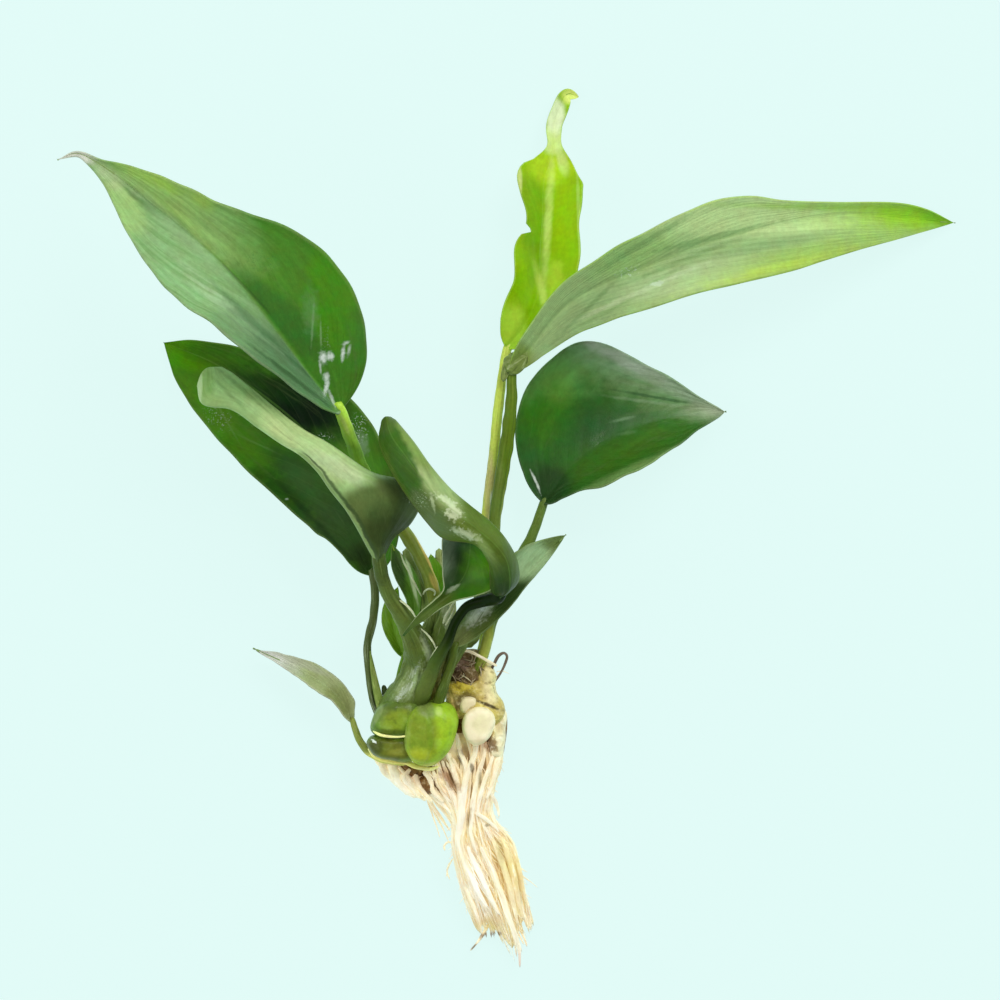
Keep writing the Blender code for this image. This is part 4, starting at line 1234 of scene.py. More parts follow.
STALKS = (
    Stalk("upper_left", "stalk", (
        (-44.6, 33.5, 31.6), (-43.5, 31.5, 31), (-42.5, 29, 29), (-40.5, 23.5, 24.5), (-37.5, 15.5, 20.5),
        (-33, 8, 19.5), (-28, 1.5, 20), (-23, -6.5, 21), (-19.5, -15, 21), (-18.5, -23, 20.5),
        (-19, -31, 19), (-20.5, -38.5, 17.5), (-21, -50, 15)), (1.5, 1.8, 1.8, 1.9, 2.1), FibreFinish(
        "stalk_upper_left_skin", "7e8c32", STALK_UPPER_LEFT_SKIN, washes=(
        Wash("689628", (-1, 1), (-1, 0.32), 0.06, 0.95), Wash("c8f050", (-1, 1), (-1, 0.1), 0.1, 0.95)))),
    Stalk("lower_left", "stalk_dark", (
        (-35.2, -9.5, 13), (-35, -11.5, 13), (-34.5, -16.5, 13), (-35, -23, 13), (-36.5, -29.5, 13),
        (-36, -37.5, 14), (-35, -44, 14), (-32.5, -50, 15)), (1.2, 1.1, 1.1, 1, 1, 1.2), FibreFinish(
        "stalk_lower_left_skin", "546232", level=14, dark="243014", light="b0ba96", light_share=0.5,
        dabs=(Dab("283614", 378, 700, 5, 34, 4, 0.8),))),
    Stalk("rolled_left", "stalk", (
        (-33.4, -5, 38.4), *seen(
        (380, 566, 37.5), (384, 583, 35.5), (390, 597, 33), (400, 612, 31), (411, 630, 28), (418, 646, 25),
        (420.5, 660, 22), (418, 676, 20.5), (411.5, 690, 19.4), (404, 702, 17.6), (399, 713, 14.5),
        (397, 721, 11))), (1.6, 1.8, 1.9, 2.1, 2.5, 3.2, 4, 4.6, 5, 5.5, 5.9, 5.4), FibreFinish(
        "stalk_rolled_left_skin", "60722e", STALK_ROLLED_LEFT_SKIN, level=24, fibres=12, runs=4,
        light_share=0.3, relief=0.5)),
    Stalk("rolled_middle", "stalk_dark", (
        (-1.6, -15, 42), (-2.4, -17, 40.6), (-5.5, -17.8, 37), (-10.5, -19.5, 35.5), (-13.5, -23.5, 34.5),
        (-15.5, -28.5, 33), (-18.2, -33, 30.5), (-20.6, -38.5, 26.4), (-22, -42, 23.2), (-22.8, -44.4, 19.6),
        (-23.2, -47, 14)), (1.6, 1.7, 1.5, 1.3, 1.4, 1.7, 2, 2.2, 2.1, 1.7), FibreFinish(
        # the near-black base colour is painted shade where the stalk runs under the rolled leaf; the washes
        # lighten its lower half
        "stalk_rolled_middle_skin", "142404", level=30, light="3c541e", shine=0.05, washes=(
        Wash("40541c", along=(0.48, 1), amount=0.95), Wash("647432", (-1, 1), (0.62, 1), 0.14, 0.95)))),
    Stalk("reflexed", "stalk", (
        (-6.6, -8.4, 39), (-5.8, -7.4, 38.4), (-5.2, -8.5, 35.5), (-6.5, -12.5, 30.5), (-8.5, -18.5, 27),
        (-11, -25.5, 25.5), (-13.5, -32, 24.5), (-16, -40, 22.5), (-19, -50, 18)), (0.8, 0.8, 0.9),
        FibreFinish("stalk_olive_skin", "60702c")),
    Stalk("new_upright", "stalk", (
        (1.4, 50, 18.8), (0, 47.5, 19.2), (-1.2, 41.5, 20), (-2.2, 34, 20), (-3.8, 18.5, 19), (-5.5, 4, 18),
        (-6, -7.5, 17), (-5.5, -18, 15.5), (-6, -28.5, 14.5), (-8, -38, 13)), (1.1, 1.3, 1.3, 1.4, 1.5),
        FibreFinish(
        "stalk_new_upright_skin", "cede5c", level=18, light="e4e296", light_share=0.45, dark="746828",
        dark_share=0.45, fibres=7, runs=3,
        # the GLINT dab is a painted glint
        dabs=(Dab("d8c88c", 490, 492, 6, 44, 3, streaks=0.4), Dab(GLINT, 492, 500, 2, 8, 0, 0.7)))),
    Stalk("long_right", "stalk", (
        (2.6, 43.8, 23.6), (1.2, 41.5, 24), (1, 34, 24), (-0.5, 21, 23), (-3, 5.5, 22), (-4, -7.5, 21),
        (-4.5, -18, 20), (-5, -27, 19), (-9.5, -40, 15)), (1.1, 1.8, 1.55, 1.35, 1.5), FibreFinish(
        "stalk_long_right_skin", "5c7618", level=22, light="aaaa50", light_share=0.35, fibres=7, runs=3,
        dabs=(
        Dab("70803c", 498, 500, 8, 50, 3, 0.7, streaks=0.4),
        Dab("b0b650", 486, 650, 9, 34, 3, 0.95, streaks=0.2)))),
    Stalk("heart_right", "stalk", (
        (10.8, 9.8, 10.9), (9.5, 7.5, 11.3), (8, 3, 11.8), (6, -2, 12), (3, -7.5, 12), (-0.6, -15.5, 11.5),
        (-3.8, -23, 11), (-5.6, -29.5, 11), (-8.5, -39, 12)), (1, 1.4, 1.4, 1.4, 1.5), FibreFinish(
        "stalk_heart_right_skin", "627a30", level=12, light="96a65a",
        dabs=(Dab("babe5c", 486, 648, 8, 24, 4, 0.85, streaks=0.3),))),
    Stalk("small_right", "stalk", (
        (-12.6, -28.6, 30.2), (-13.5, -29.5, 30), (-14.5, -34, 28), (-16.5, -39.5, 25), (-18, -43.5, 22),
        (-18.6, -50, 18)), (1, 1.1, 1.3), FibreFinish("stalk_small_right_skin", "54641e")),
    Stalk("small_left", "stalk", (
        (-41.2, -48.6, 8), *seen(
        (352, 719, 8), (355, 729, 8.6), (360, 741, 9.8), (368, 751, 11.6), (380, 758, 13.6),
        (394, 761.5, 15), (407, 763, 15.6))), (0.7, 0.9, 1, 1.1, 1, 0.8), FibreFinish(
        "stalk_small_left_skin", "8c9842", level=12, light="cece6e",
        dabs=(Dab("e2de74", 388, 762, 30, 6, -12),))),
    Stalk("back_right", "stalk",
        ((-18.7, -18, 14), (-18.5, -19, 14), (-17, -26, 13.5), (-14.5, -34, 13), (-11, -43, 13)),
        (0.6, 0.8, 0.9), LIME_STALK),
    Stalk("back_middle", "stalk",
        ((-24.2, -21.5, 20), (-24, -22.5, 20), (-22.5, -28.5, 17), (-22.5, -36, 14.5), (-24, -50, 14)),
        (0.7, 0.8, 0.9), LIME_STALK),
    Stalk("back_left", "stalk",
        ((-27.4, -31.6, 17), (-27, -32.5, 17), (-28, -36.5, 15), (-28.6, -41.5, 13.5), (-28.8, -50, 13.5)),
        (0.7, 0.8, 0.9), LIME_STALK))


SHEATH_INNER_SKIN = (
    # c4cea4 is a painted silvery highlight on the inner sheath's edge
    Dab("c4cea4", 448, 616, 5, 20, 10, 0.5, 0.6, 1, 1), Dab("78642c", 432, 690, 9, 10, 0, 0.6, 0.4, 0.8),
    Dab("70823e", 528, 358, 34, 22, 0, 0.7, 0.6), Dab("807434", 442, 682, 12, 20, 0, 0.7, 0.6),
    Dab("3e581c", 416, 572, 16, 34, 0, 0.8, 0.6))


@dataclass
class Foliage:
    """All the leaves, and the torn sheaths where they leave the rhizome."""

    blades: tuple[Leaf, ...] = BLADES
    stalks: tuple[Stalk, ...] = STALKS
    shreds: tuple[tuple[Line, float], ...] = (
        (((400, 552, 24), (404, 562, 24), (410, 574, 23.5), (416, 586, 23), (422, 597, 22)), 0.28),
        (((423, 595, 23), (425, 591, 24), (430, 589, 24.5), (435, 592, 24), (434, 596, 23)), 0.32),
        (((399, 600, 33.5), (405, 604, 34), (411, 610, 34), (416, 618, 33)), 0.34),
        (((443, 624, 30), (446, 616, 31), (451, 608, 31.5), (455, 600, 31)), 0.4),
        (((445, 626, 30), (449, 620, 31), (453, 612, 31.5), (456, 603, 31)), 0.3),
        (((420, 628, 29), (427, 634, 30), (433, 642, 30), (437, 651, 28.5)), 0.28),
        (((438, 646, 31), (433, 655, 30), (428, 666, 28.5), (424, 676, 27)), 0.3),
        (((462, 608, 35), (474, 602, 34), (484, 600, 33.5)), 0.25))

    sheaths: tuple[tuple[Line, Numbers], ...] = (
        (
        ((446, 602, 28), (444, 625, 27), (436, 655, 23), (427, 688, 19), (424, 704, 17)),
        (0.6, 2.4, 2.8, 2.4, 2)), (
        ((463, 606, 28), (462, 628, 27), (456, 648, 23), (449, 664, 20), (446, 680, 17)),
        (0.6, 2.2, 2.6, 2, 1.2)),
        (((474, 612, 25), (474, 624, 23), (471, 636, 20), (466, 648, 17)), (0.6, 2, 2.2, 1.2)),
        (((437, 596, 25), (432, 618, 24), (426, 645, 20), (420, 672, 17)), (0.8, 1.8, 2, 1.6)),
        (((436, 664, 20), (434, 680, 18), (431, 698, 16), (430, 708, 15)), (1, 1.8, 2, 1.6)),
        (((406, 548, 14), (411, 566, 14), (420, 592, 14.5), (426, 622, 15)), (1.2, 2.4, 3.2, 3)),
        (((439, 548, 14), (440, 570, 14), (438, 592, 14.5), (434, 618, 15)), (0.8, 1.6, 2.2, 2.2)),
        (((452, 586, 13), (449, 606, 13.5), (445, 626, 14), (440, 646, 14)), (0.8, 1.8, 2.4, 2.2)),
        (((448, 640, 14), (445, 660, 13.5), (442, 680, 13), (440, 696, 12)), (1.2, 2.2, 2.6, 2.2)),
        (((513, 352, 25), (509, 361, 25.5), (506, 371, 25), (503, 382, 24)), (0.5, 1.2, 1.1, 0.5)))

    fold: Lump = Lump((
        (504, 358), (514, 353), (528, 346), (544, 341), (555, 343), (544, 353), (530, 363), (517, 374),
        (508, 374)), 23.4, 26.6, 0.4, 0.8, lumps=0.02, rough=0.2)

    def build(self) -> None:
        """Makes and dresses every blade, stalk and sheath."""
        for part in (*self.blades, *self.stalks):
            part.build()
        inner = Skins("sheaths_inner")
        for number, (places, radii) in enumerate(self.sheaths):
            inner.tube(seen(*places), radii, 18, 0.7, number / 6, 0.35, 0.12, number + 40)
        inner.pebble(self.fold, 0.2, 9)
        inner.dress("leaf_pale", (), FibreFinish(
            "sheath_inner_skin", "687e34", SHEATH_INNER_SKIN, fibres=9, runs=3, level=24, relief=0.35,
            end="96a45c", light="ced6a8", light_share=0.45, dark="2c3e16", dark_share=0.6))
        shreds = Skins("sheath_shreds")
        for number, (places, radius) in enumerate(self.shreds):
            shreds.tube(seen(*places), (radius * 0.6, radius, radius * 0.5), 8, 0.4, lumps=0.15, seed=number)
        shreds.dress("leaf_pale", (), FibreFinish(
            "sheath_shred_skin", "d4daac", light=GLINT, light_share=0.6, dark="96a064", wet=0.3))


# ---- rhizome


RHIZOME_SKIN = (
    Dab("586c28", 398, 704, 30, 12, 0, 0.9, 0.8, 0.4), Dab("90a264", 378, 714, 12, 3, 66, 0.6),
    Dab("8ea22a", 396, 720, 16, 9, 30, 0.7), Dab("4e5c1c", 392, 732, 20, 3, -4, 0.6),
    Dab("6c7222", 390, 750, 30, 11, 0, 0.95, 0.2), Dab("3c4814", 376, 746, 8, 8, 0, 0.7),
    # the GLINT dab is a painted wet glint
    Dab("969a3c", 398, 752, 10, 4, 0, 0.5), Dab(GLINT, 374, 741, 3, 1.2, -40, 0.9, 0.4, 0.9, 0.6))
RHIZOME_END_SKIN = (
    Dab("a0c428", 446, 724, 13, 24, 0, 0.8), Dab("80962a", 421, 733, 16, 29, 4, 0.97, 0.25, 0.12),
    Dab("788850", 427, 709, 11, 7, -30, 0.7), Dab("70981e", 430, 735, 3, 22, 4, 0.5, 0.7),
    # c4d86e is a painted highlight on the knob
    Dab("b0ba2c", 419, 756, 14, 7, 0, 0.8, 0.7), Dab("c4d86e", 439, 711, 4, 5, 0, 0.6),
    Dab("96a856", 405, 740, 2, 20, 0, 0.6), Dab("c4c45a", 430, 766, 18, 3, 15, 0.8))
RHIZOME_BACK_SKIN = (
    Dab("ceb838", 460, 688, 16, 7, -14), Dab("f0e2a8", 492, 684, 9, 20, 0, 0.85, 0.4, 0.6),
    Dab("d6b66e", 454, 706, 6, 12, 0, 0.7, 0.4, 0.8), Dab("46361c", 465, 701, 12, 9, 30, 0.8, 0.3, 0.4, 1.5),
    Dab("322818", 488, 705, 14, 1.6, -22, 0.9, 0.5, 0.6, 1.2))
RHIZOME_SCAR_SKIN = (
    Dab("3c2a1c", 456, 672, 8, 8, 0, 0.7, 0.4, 0.8), Dab("707828", 484, 664, 7, 14, 0, 0.8),
    Dab("a08074", 462, 664, 8, 7, 0, 0.5, 0.4, 0.8))
CUT_FACE_SKIN = (
    Dab("e2daa8", 481, 724, 9, 9, 0, 0.6), Dab("d8c896", 467, 703, 9, 9, 0, 0.7, 0.4, 0.7),
    Dab("cebe8c", 479, 743, 14, 4, 0, 0.5))


@dataclass(frozen=True)
class Lumps:
    """A piece of rounded lumps, and the solids that it stands for."""

    name: str
    slot: str
    nodes: tuple[str, ...]
    finish: FibreFinish
    lumps: tuple[Lump, ...]

    def build(self) -> None:
        """Makes the piece and dresses it."""
        skins = Skins(self.name)
        for number, lump in enumerate(self.lumps):
            skins.pebble(lump, number / 4, number + len(self.name))
        skins.dress(self.slot, self.nodes, self.finish)


# glow is painted light that lifts the shade of the cut faces
CUT_FACE = FibreFinish(
    "cut_face_skin", "f6ebc4", CUT_FACE_SKIN, fibres=0, grain=3, level=19, light="fffae4", dark="decc96",
    mottle=0.08, relief=0.1, glow=0.1)
LUMPS = (
    Lumps("rhizome_internodes", "rhizome", ("rhizome",), FibreFinish(
        "rhizome_skin", "688624", RHIZOME_SKIN, fibres=0, relief=0.15, light_share=0.12, wet=0.15), (
        Lump((
            (371, 730), (373, 716), (379, 705), (390, 698), (404, 695), (418, 698), (424, 712), (422, 730),
            (410, 739), (392, 740), (378, 737)), 9, 23.8, 0.5, 0.8, (0.03, 0)),
        Lump((
            (367, 742), (371, 736), (380, 735), (394, 737), (410, 736), (420, 744), (420, 757), (408, 762),
            (394, 761), (381, 758.5), (371, 752)), 8.5, 22.4, 0.45, 0.7, lumps=0.02))),
    Lumps("rhizome_growing_end", "rhizome", (), FibreFinish(
        "rhizome_end_skin", "96bc2c", RHIZOME_END_SKIN, fibres=0, level=23, relief=0.15, light_share=0.1,
        dark="608014", wet=0.1, roughness=0.42, shine=0.1), (
        Lump((
            (405, 728), (409, 714), (416, 705), (428, 701.5), (444, 702), (454, 707), (458.5, 717),
            (457, 731), (452, 746), (443, 758), (432, 765.5), (420, 766), (410, 760), (405, 746)),
            8.5, 25, 0.45, 0.75),
        Lump((
            (404.5, 738), (406, 722), (412, 709), (420, 704.5), (430, 708), (436, 720), (438, 738),
            (433, 754), (424, 763), (413, 761), (406, 751)), 12, 25.5, 0.35, 0.5, (-0.04, -0.02)))),
    Lumps("rhizome_back_branch", "rhizome_old", ("rhizome_back",), FibreFinish(
        "rhizome_back_skin", "d0bc68", RHIZOME_BACK_SKIN, fibres=0, grain=1.3, level=17, dark="806028",
        light="f4e8b2", light_share=0.45, dark_share=0.5, relief=0.5), (
        Lump((
            (446, 690), (449, 680), (458, 677), (470, 680), (484, 677), (493, 681), (497, 692), (504, 703),
            (505.5, 714), (498, 724), (484, 722), (470, 716), (458, 720), (448, 708)),
            6.5, 18.4, 0.45, 0.7, lumps=0.03, rough=0.35),
        Lump((
            (476, 684), (480, 668), (488, 663), (494.5, 669), (496, 682), (488, 690)),
            7, 17.9, 0.45, 0.7, lumps=0.06, rough=0.35))),
    Lumps("rhizome_fibrous_scar", "rhizome_old", (), FibreFinish(
        "rhizome_scar_skin", "7e6842", RHIZOME_SCAR_SKIN, fibres=0, grain=1, level=16, dark="3c2816",
        light="ceba9c", light_share=0.5, dark_share=0.6, relief=0.7, roughness=0.6, shine=0.08), (
        Lump((
            (448, 668), (450, 655), (460, 649), (473, 649), (484, 656), (488, 670), (481, 683), (466, 688),
            (452, 684)), 7, 17.6, 0.45, 0.6, lumps=0.05, rough=0.45),)),
    Lumps("rhizome_cut_stub", "root", ("rhizome_stub",), CUT_FACE, (
        Lump((
            (462, 726), (463.5, 716), (469.5, 708.5), (479, 706), (488, 708), (494, 713.5), (495.5, 722),
            (493, 730), (489, 738), (482, 744), (475, 745.5), (468, 741), (463.5, 734)),
            7.4, 20.6, 0.25, 0.4, (0.02, 0.03), 0.01, 0.08),)),
    Lumps("rhizome_small_stub", "root", ("stub_small",), CUT_FACE, (
        Lump((
            (461, 711), (459.5, 704), (463.5, 698), (470, 695.5), (476, 698.5), (476, 704), (471, 709),
            (465, 713)), 13, 19.9, 0.4, 0.7, lumps=0.04, rough=0.2),)),
    Lumps("rhizome_crumbs", "root", (), FibreFinish(
        "crumb_skin", "f4e8be", (
            Dab("78542c", 491, 745, 6, 8, 0, 0.85, 0.4, 0.9, 1.4),
            Dab("bea064", 499, 722, 5, 12, 0, 0.5, ragged=0.9)),
        fibres=0, grain=1.4, level=14, dark="be9e60", light="fffae6", light_share=0.4, dark_share=0.35,
        # glow is painted light that lifts the crumbs' shade
        glow=0.1, relief=0.5), (
        Lump((
            (486, 712), (496, 705), (505, 711), (506, 728), (504.5, 745), (500, 759), (492, 761), (486, 748),
            (492, 732)), 4, 15.6, lumps=0.03, rough=0.5),)))


@dataclass
class Rhizome:
    """The green rhizome with its growing end, the yellow back branch and the cut stubs."""

    lumps: tuple[Lumps, ...] = LUMPS
    ring: Line = (
        (373, 729, 18.5), (375, 732, 21), (380, 734.8, 22.6), (390, 736.6, 23.4), (399, 736.9, 23.8),
        (407, 736, 23.8))
    rim: Line = (
        (368, 748, 13.5), (373, 754.5, 14.8), (382, 759.5, 15.8), (394, 761.5, 16.6), (407, 763, 16.8),
        (419, 767.5, 15.8), (431, 769, 14.8), (439, 766, 14))
    bud: Line = ((383.5, 685, 14.5), (385, 692, 15), (388, 700, 15.5), (392, 712, 15.5))
    sheath: Line = (
        (370, 650, 14.6), (372.5, 668, 15.4), (375.5, 684, 15.8), (378.5, 698, 16), (382, 712, 15.5))
    hairs: int = 26

    def build(self) -> None:
        """Makes and dresses the rhizome's pieces."""
        for lumps in self.lumps:
            lumps.build()
        ring = Skins("rhizome_sheath_ring")
        ring.tube(seen(*self.ring), (0.25, 0.36, 0.34, 0.26), 10, 0.4, lumps=0.1, seed=3)
        ring.tube(seen(*self.rim), (0.3, 0.55, 0.6, 0.6, 0.3), 10, 0.4, lumps=0.15, seed=4)
        # glow is painted light that keeps the pale ring bright
        ring.dress("leaf_pale", (), FibreFinish(
            "sheath_ring_skin", "f6f4a0", (Dab("e8d86e", 400, 762, 44, 9, 0, 0.8),), dark="beb85a",
            light="ffffd2", glow=0.12))
        random = np.random.default_rng(self.hairs)
        hairs = Skins("rhizome_hairs")
        steps = np.linspace(-1, 1, 5)
        for number in range(self.hairs):
            right, down = random.uniform(452, 484), random.uniform(653, 684)
            turn, bow = random.uniform(0, math.pi), random.uniform(-6, 6)
            reach = random.uniform(4, 9)
            route = seen(*zip(right + steps * reach * math.cos(turn) + bow * steps**2,
                              down + steps * reach * math.sin(turn), 17.9 - 0.6 * steps**2))
            hairs.tube(route, (0.1, 0.17, 0.08), 6, 0.5, random.uniform(0, 1), lumps=0.2, seed=number)
        hairs.dress("root_brown", (), FibreFinish("rhizome_hair_skin", "e2d2aa", end="785c3c"))
        bud = Skins("bud_beside_stalk")
        bud.tube(seen(*self.bud), (0.5, 1, 1, 0.9), 14, 0.4, blunt=True)
        bud.dress("root_brown", ["bud_left"], FibreFinish("bud_skin", "34421a"))
        sheath = Skins("sheath_beside_stalk")
        sheath.tube(seen(*self.sheath), (0.15, 0.6, 0.9, 1.1, 1.1), 14, 0.5, flat=0.6)
        sheath.dress("leaf_pale", ["sheath_left"], FibreFinish(
            "sheath_skin", "7a8e3e", light="bec878", light_share=0.4))


# ---- roots


ROOTS_MAIN_SKIN = (
    Dab("f0deb4", 475, 765, 34, 22, 0, 0.6, 0.4, 0.6), Dab("e2c496", 410, 774, 20, 6, -40, 0.4, 0.4, 0.8),
    # fff8e2 and fffcf4 are painted highlights on the shoulder and the middle of the bundle
    Dab("fff8e2", 402, 786, 16, 8, -50, 0.6, 0.8), Dab("fffcf4", 478, 886, 8, 26, 12, 0.7, 0.8, 0.6),
    Dab("f0e0a4", 508, 866, 12, 34, 12, 0.7, 0.7), Dab("dcc47a", 514, 872, 6, 20, 14, 0.5, 0.5, 0.7),
    Dab("d8be6e", 488, 926, 14, 7, 10, 0.6, 0.8, 0.8))
# brown stains and tips, and dark dabs that are painted shade in the gaps between strands
ROOTS_MAIN_SKIN_STAINS_AND_SHADE = (
    Dab("543c22", 457, 754, 2.2, 11, 24, 0.8, 0.5, 0.6, 1.5),
    Dab("543c22", 464, 751, 3, 4, 20, 0.8, 0.5, 0.7, 1.2),
    Dab("5c4626", 472, 767, 2, 5, 10, 0.7, 0.5, 0.7, 1.2),
    Dab("826c3e", 480, 778, 1.8, 8, -4, 0.6, 0.6, 0.7, 1.2),
    Dab("9e703e", 491, 744, 7, 7, 0, 0.75, 0.4, 0.8, 1.2),
    Dab("a0864c", 469, 818, 1.8, 10, -8, 0.6, 0.6, 0.7, 1.4),
    Dab("8c7a4c", 487, 825, 2.4, 1.6, 0, 0.6, 0.6, 0.7, 1),
    Dab("beaa68", 500, 852, 3, 12, 10, 0.5, 0.7, 0.8, 1.4),
    Dab("966028", 450, 780, 13, 5, -50, 0.7, 0.6, 0.9, 1.6),
    Dab("785432", 490, 936, 11, 3, 6, 0.8, 0.6, 0.9, 1.4), Dab("5c4836", 473, 948, 4, 4, 40, 0.8, 0.6),
    Dab("e2c4ba", 519, 962, 5, 10, 0, 0.5))
# dark brown dabs of painted shade in the gaps between strands, and ochre stains
ROOTS_CORE_SKIN_STAINS_AND_SHADE = (
    Dab("684824", 446, 780, 24, 18, -30, 0.85, 0.5, 0.6), Dab("78542c", 476, 770, 16, 26, 0, 0.8, 0.5, 0.6),
    Dab("b09660", 478, 812, 12, 18, 0, 0.6, 0.6, 0.6), Dab("e8d08c", 505, 868, 18, 36, 12, 0.6))

# glow is painted light that lifts the roots' shade and softens their shadows
PALE = FibreFinish(
    "roots_main_skin", "faf1da", ROOTS_MAIN_SKIN, end="ecd8a6", fibres=3, runs=6, dark="d4bc8e",
    dark_share=0.3, light="fffcf0", light_share=0.5, level=9, relief=0.15, glow=0.2, mottle=0.16,
    stains_and_shade=ROOTS_MAIN_SKIN_STAINS_AND_SHADE)


class Layer(Enum):
    """A layer of the root bundle: strands, thickest and thinnest radius in mm, faces around."""

    MAIN = (90, 0.5, 0.24, 8)
    FINE = (330, 0.22, 0.08, 6)


@dataclass
class Roots:
    """The matted root bundle and the single roots beside it."""

    guides: tuple[Trace, ...] = (
        (
        (418, 765), (426, 783), (438, 800), (452, 815), (453, 840), (456, 865), (462, 890), (470, 913),
        (479, 933)), (
        (428, 765), (436, 785), (448, 803), (456, 825), (457, 850), (463, 872), (471, 897), (479, 918),
        (485, 938)), (
        (434, 748), (448, 783), (456, 803), (460, 828), (461, 850), (470, 875), (480, 900), (489, 922),
        (495, 939)), (
        (448, 732), (460, 765), (464, 790), (463, 815), (462, 840), (468, 862), (478, 888), (491, 915),
        (503, 943)), (
        (467, 730), (471, 765), (471, 790), (470, 815), (474, 840), (483, 865), (495, 895), (507, 930),
        (518, 968)), (
        (482, 732), (484, 765), (481, 790), (479, 812), (484, 838), (497, 865), (507, 895), (516, 925),
        (523, 950)), (
        (494, 742), (493, 765), (489, 790), (486, 815), (496, 838), (510, 862), (519, 895), (525, 917),
        (529, 935)), (
        (502, 745), (501, 762), (494, 785), (492, 815), (512, 842), (520, 868), (525, 893), (530, 912),
        (534, 927)))
    crest: Numbers = (15.3, 14.6, 13.2, 11.8, 10.8, 10, 9.2, 8.2, 6.6, 4.2, 1.4)
    trough: Numbers = (4, 1.4, 0.4, 0.2, 0.2, 0.2, 0.2, 0.2, 0.2, 0.1, 0.1)
    bands: tuple[tuple[Trace, float, float], ...] = (
        (
        (
        (478, 732), (474, 756), (467, 775), (463, 795), (461, 818), (459, 842), (464, 860), (471, 876),
        (478, 892), (488, 908)), 1.35, 0),
        (((486, 740), (484, 756), (479, 772), (475, 790), (472, 812), (471, 835), (478, 856)), 0.9, 0.15),
        (((494, 752), (489, 768), (484, 782), (479, 800), (477, 818)), 0.9, 0.1),
        (((498, 735), (499, 752), (495, 770), (492, 785), (486, 800)), 1.1, 0.1),
        (((456, 732), (461, 754), (466, 768), (464, 782)), 1, 0.2),
        (((444, 738), (453, 768), (458, 786), (460, 806), (459, 826)), 0.9, 0.25),
        (((432, 756), (445, 782), (454, 798), (458, 816), (458, 836)), 0.8, 0.3),
        (((431, 773), (438, 782), (444, 792), (452, 804)), 0.9, 0),
        (((428, 790), (438, 800), (446, 807), (452, 815)), 0.8, 0),
        (((487, 786), (493, 797), (498, 809), (499, 818)), 0.7, 0.25),
        (((474, 812), (484, 818), (494, 826), (500, 834)), 0.7, 0.05),
        (((467, 845), (474, 862), (482, 878), (490, 896), (500, 916)), 1, 0),
        (((480, 845), (490, 866), (499, 888), (506, 910), (514, 932), (519, 950), (520, 968)), 1.1, 0.2),
        (((500, 835), (508, 855), (514, 878), (518, 900), (524, 920)), 1.2, 0.85),
        (((492, 838), (500, 858), (508, 880), (513, 902), (518, 926)), 1.1, 0.7),
        (((510, 842), (517, 862), (522, 885), (526, 905)), 0.9, 0.9),
        (((458, 862), (464, 884), (473, 905), (480, 926), (482, 936)), 0.8, 0.4))
    loose: tuple[tuple[Trace, float, float], ...] = (
        (((425, 791), (430, 808), (436, 825), (440, 838)), 4.5, 0.25),
        (((426, 792), (433, 806), (441, 818), (450, 831)), 5.5, 0.5),
        (((429, 792), (437, 803), (446, 814), (453, 826)), 7, 0.6),
        (((427, 796), (434, 812), (442, 827), (449, 842)), 4.6, 0.3),
        (((514, 915), (520, 928), (525, 940), (527, 947)), 2.2, 0.45),
        (((445, 851), (444, 846), (448, 842), (453, 844), (452, 850)), 6, 0.28),
        (((453, 858), (448, 868), (446, 878)), 4, 0.2), (((450, 862), (447, 872), (450, 880)), 3.5, 0.25),
        (((490, 922), (483, 934), (477, 943), (470, 951)), 2.2, 0.42),
        (((381, 760), (386, 771), (399, 784), (408, 795)), 11, 1.2),
        (((392, 762), (395, 774), (404, 788), (417, 797)), 12, 1.4),
        (((402, 772), (407, 779), (414, 789), (426, 801)), 12.2, 1.2),
        (((415, 772), (416, 780), (421, 789), (432, 803)), 12.2, 0.9),
        (((387, 761), (398, 772), (401, 788), (411, 796)), 12.2, 0.55),
        (((411, 768), (404, 778), (414, 790), (420, 799)), 13, 0.6),
        (((398, 766), (410, 780), (412, 788), (424, 797)), 13, 0.5),
        (((377, 758), (386, 768), (392, 780), (402, 789)), 9.6, 0.7),
        (((424, 770), (430, 781), (433, 791), (444, 803)), 12.8, 0.7),
        (((517, 868), (524, 877), (531, 882), (538, 888)), 6, 0.16),
        (((520, 905), (526, 918), (529, 930)), 3, 0.35), (((512, 925), (519, 935), (524, 945)), 2, 0.35),
        (((496, 672), (502, 671), (510, 674)), 14, 0.12))
    levels: Numbers = (745, 770, 800, 830, 860, 890, 920, 945, 970)
    middle: Numbers = (478, 468, 468, 474, 487, 497, 505, 510, 519)
    half: Numbers = (26, 42, 32, 26, 33, 32, 29, 18, 8)
    loop: Line = (
        (480, 684, 17.5), (489, 673, 16), (494, 664, 15.5), (499, 655.5, 15.5), (504, 653, 15.3),
        (507, 656, 15.2), (505, 664, 15), (500, 674, 15), (494, 682, 15))
    back: Line = (
        (458, 652, 17.5), (468, 651, 19.5), (479, 656, 20), (490, 662, 18.5), (497, 666, 16))
    flesh: Lump = Lump((
        (373, 756), (385, 758), (405, 761), (424, 766), (428, 780), (424, 796), (411, 796), (398, 786),
        (385, 771), (376, 763)), 3, 11.4, 0.5, 0.8, (0.1, 0), 0.03, 0.4)
    gap: tuple[Lump, ...] = (
        Lump((
            (420, 768), (430, 752), (446, 736), (458, 706), (500, 702), (505, 745), (500, 766), (480, 782),
            (452, 792), (430, 792)), 3, 11.6, 0.4, 0.6, lumps=0.03, rough=0.5),
        Lump(((399, 762), (412, 763), (424, 768), (420, 778), (407, 775)), 4, 13.4, 0.5, 0.8, lumps=0.08,
             rough=0.4),
        Lump(((420, 776), (426, 770), (434, 776), (434, 790), (427, 794), (421, 788)), 3, 13.4, 0.5, 0.8,
             lumps=0.08, rough=0.4))
    seed: int = 7
    hairs: int = 150

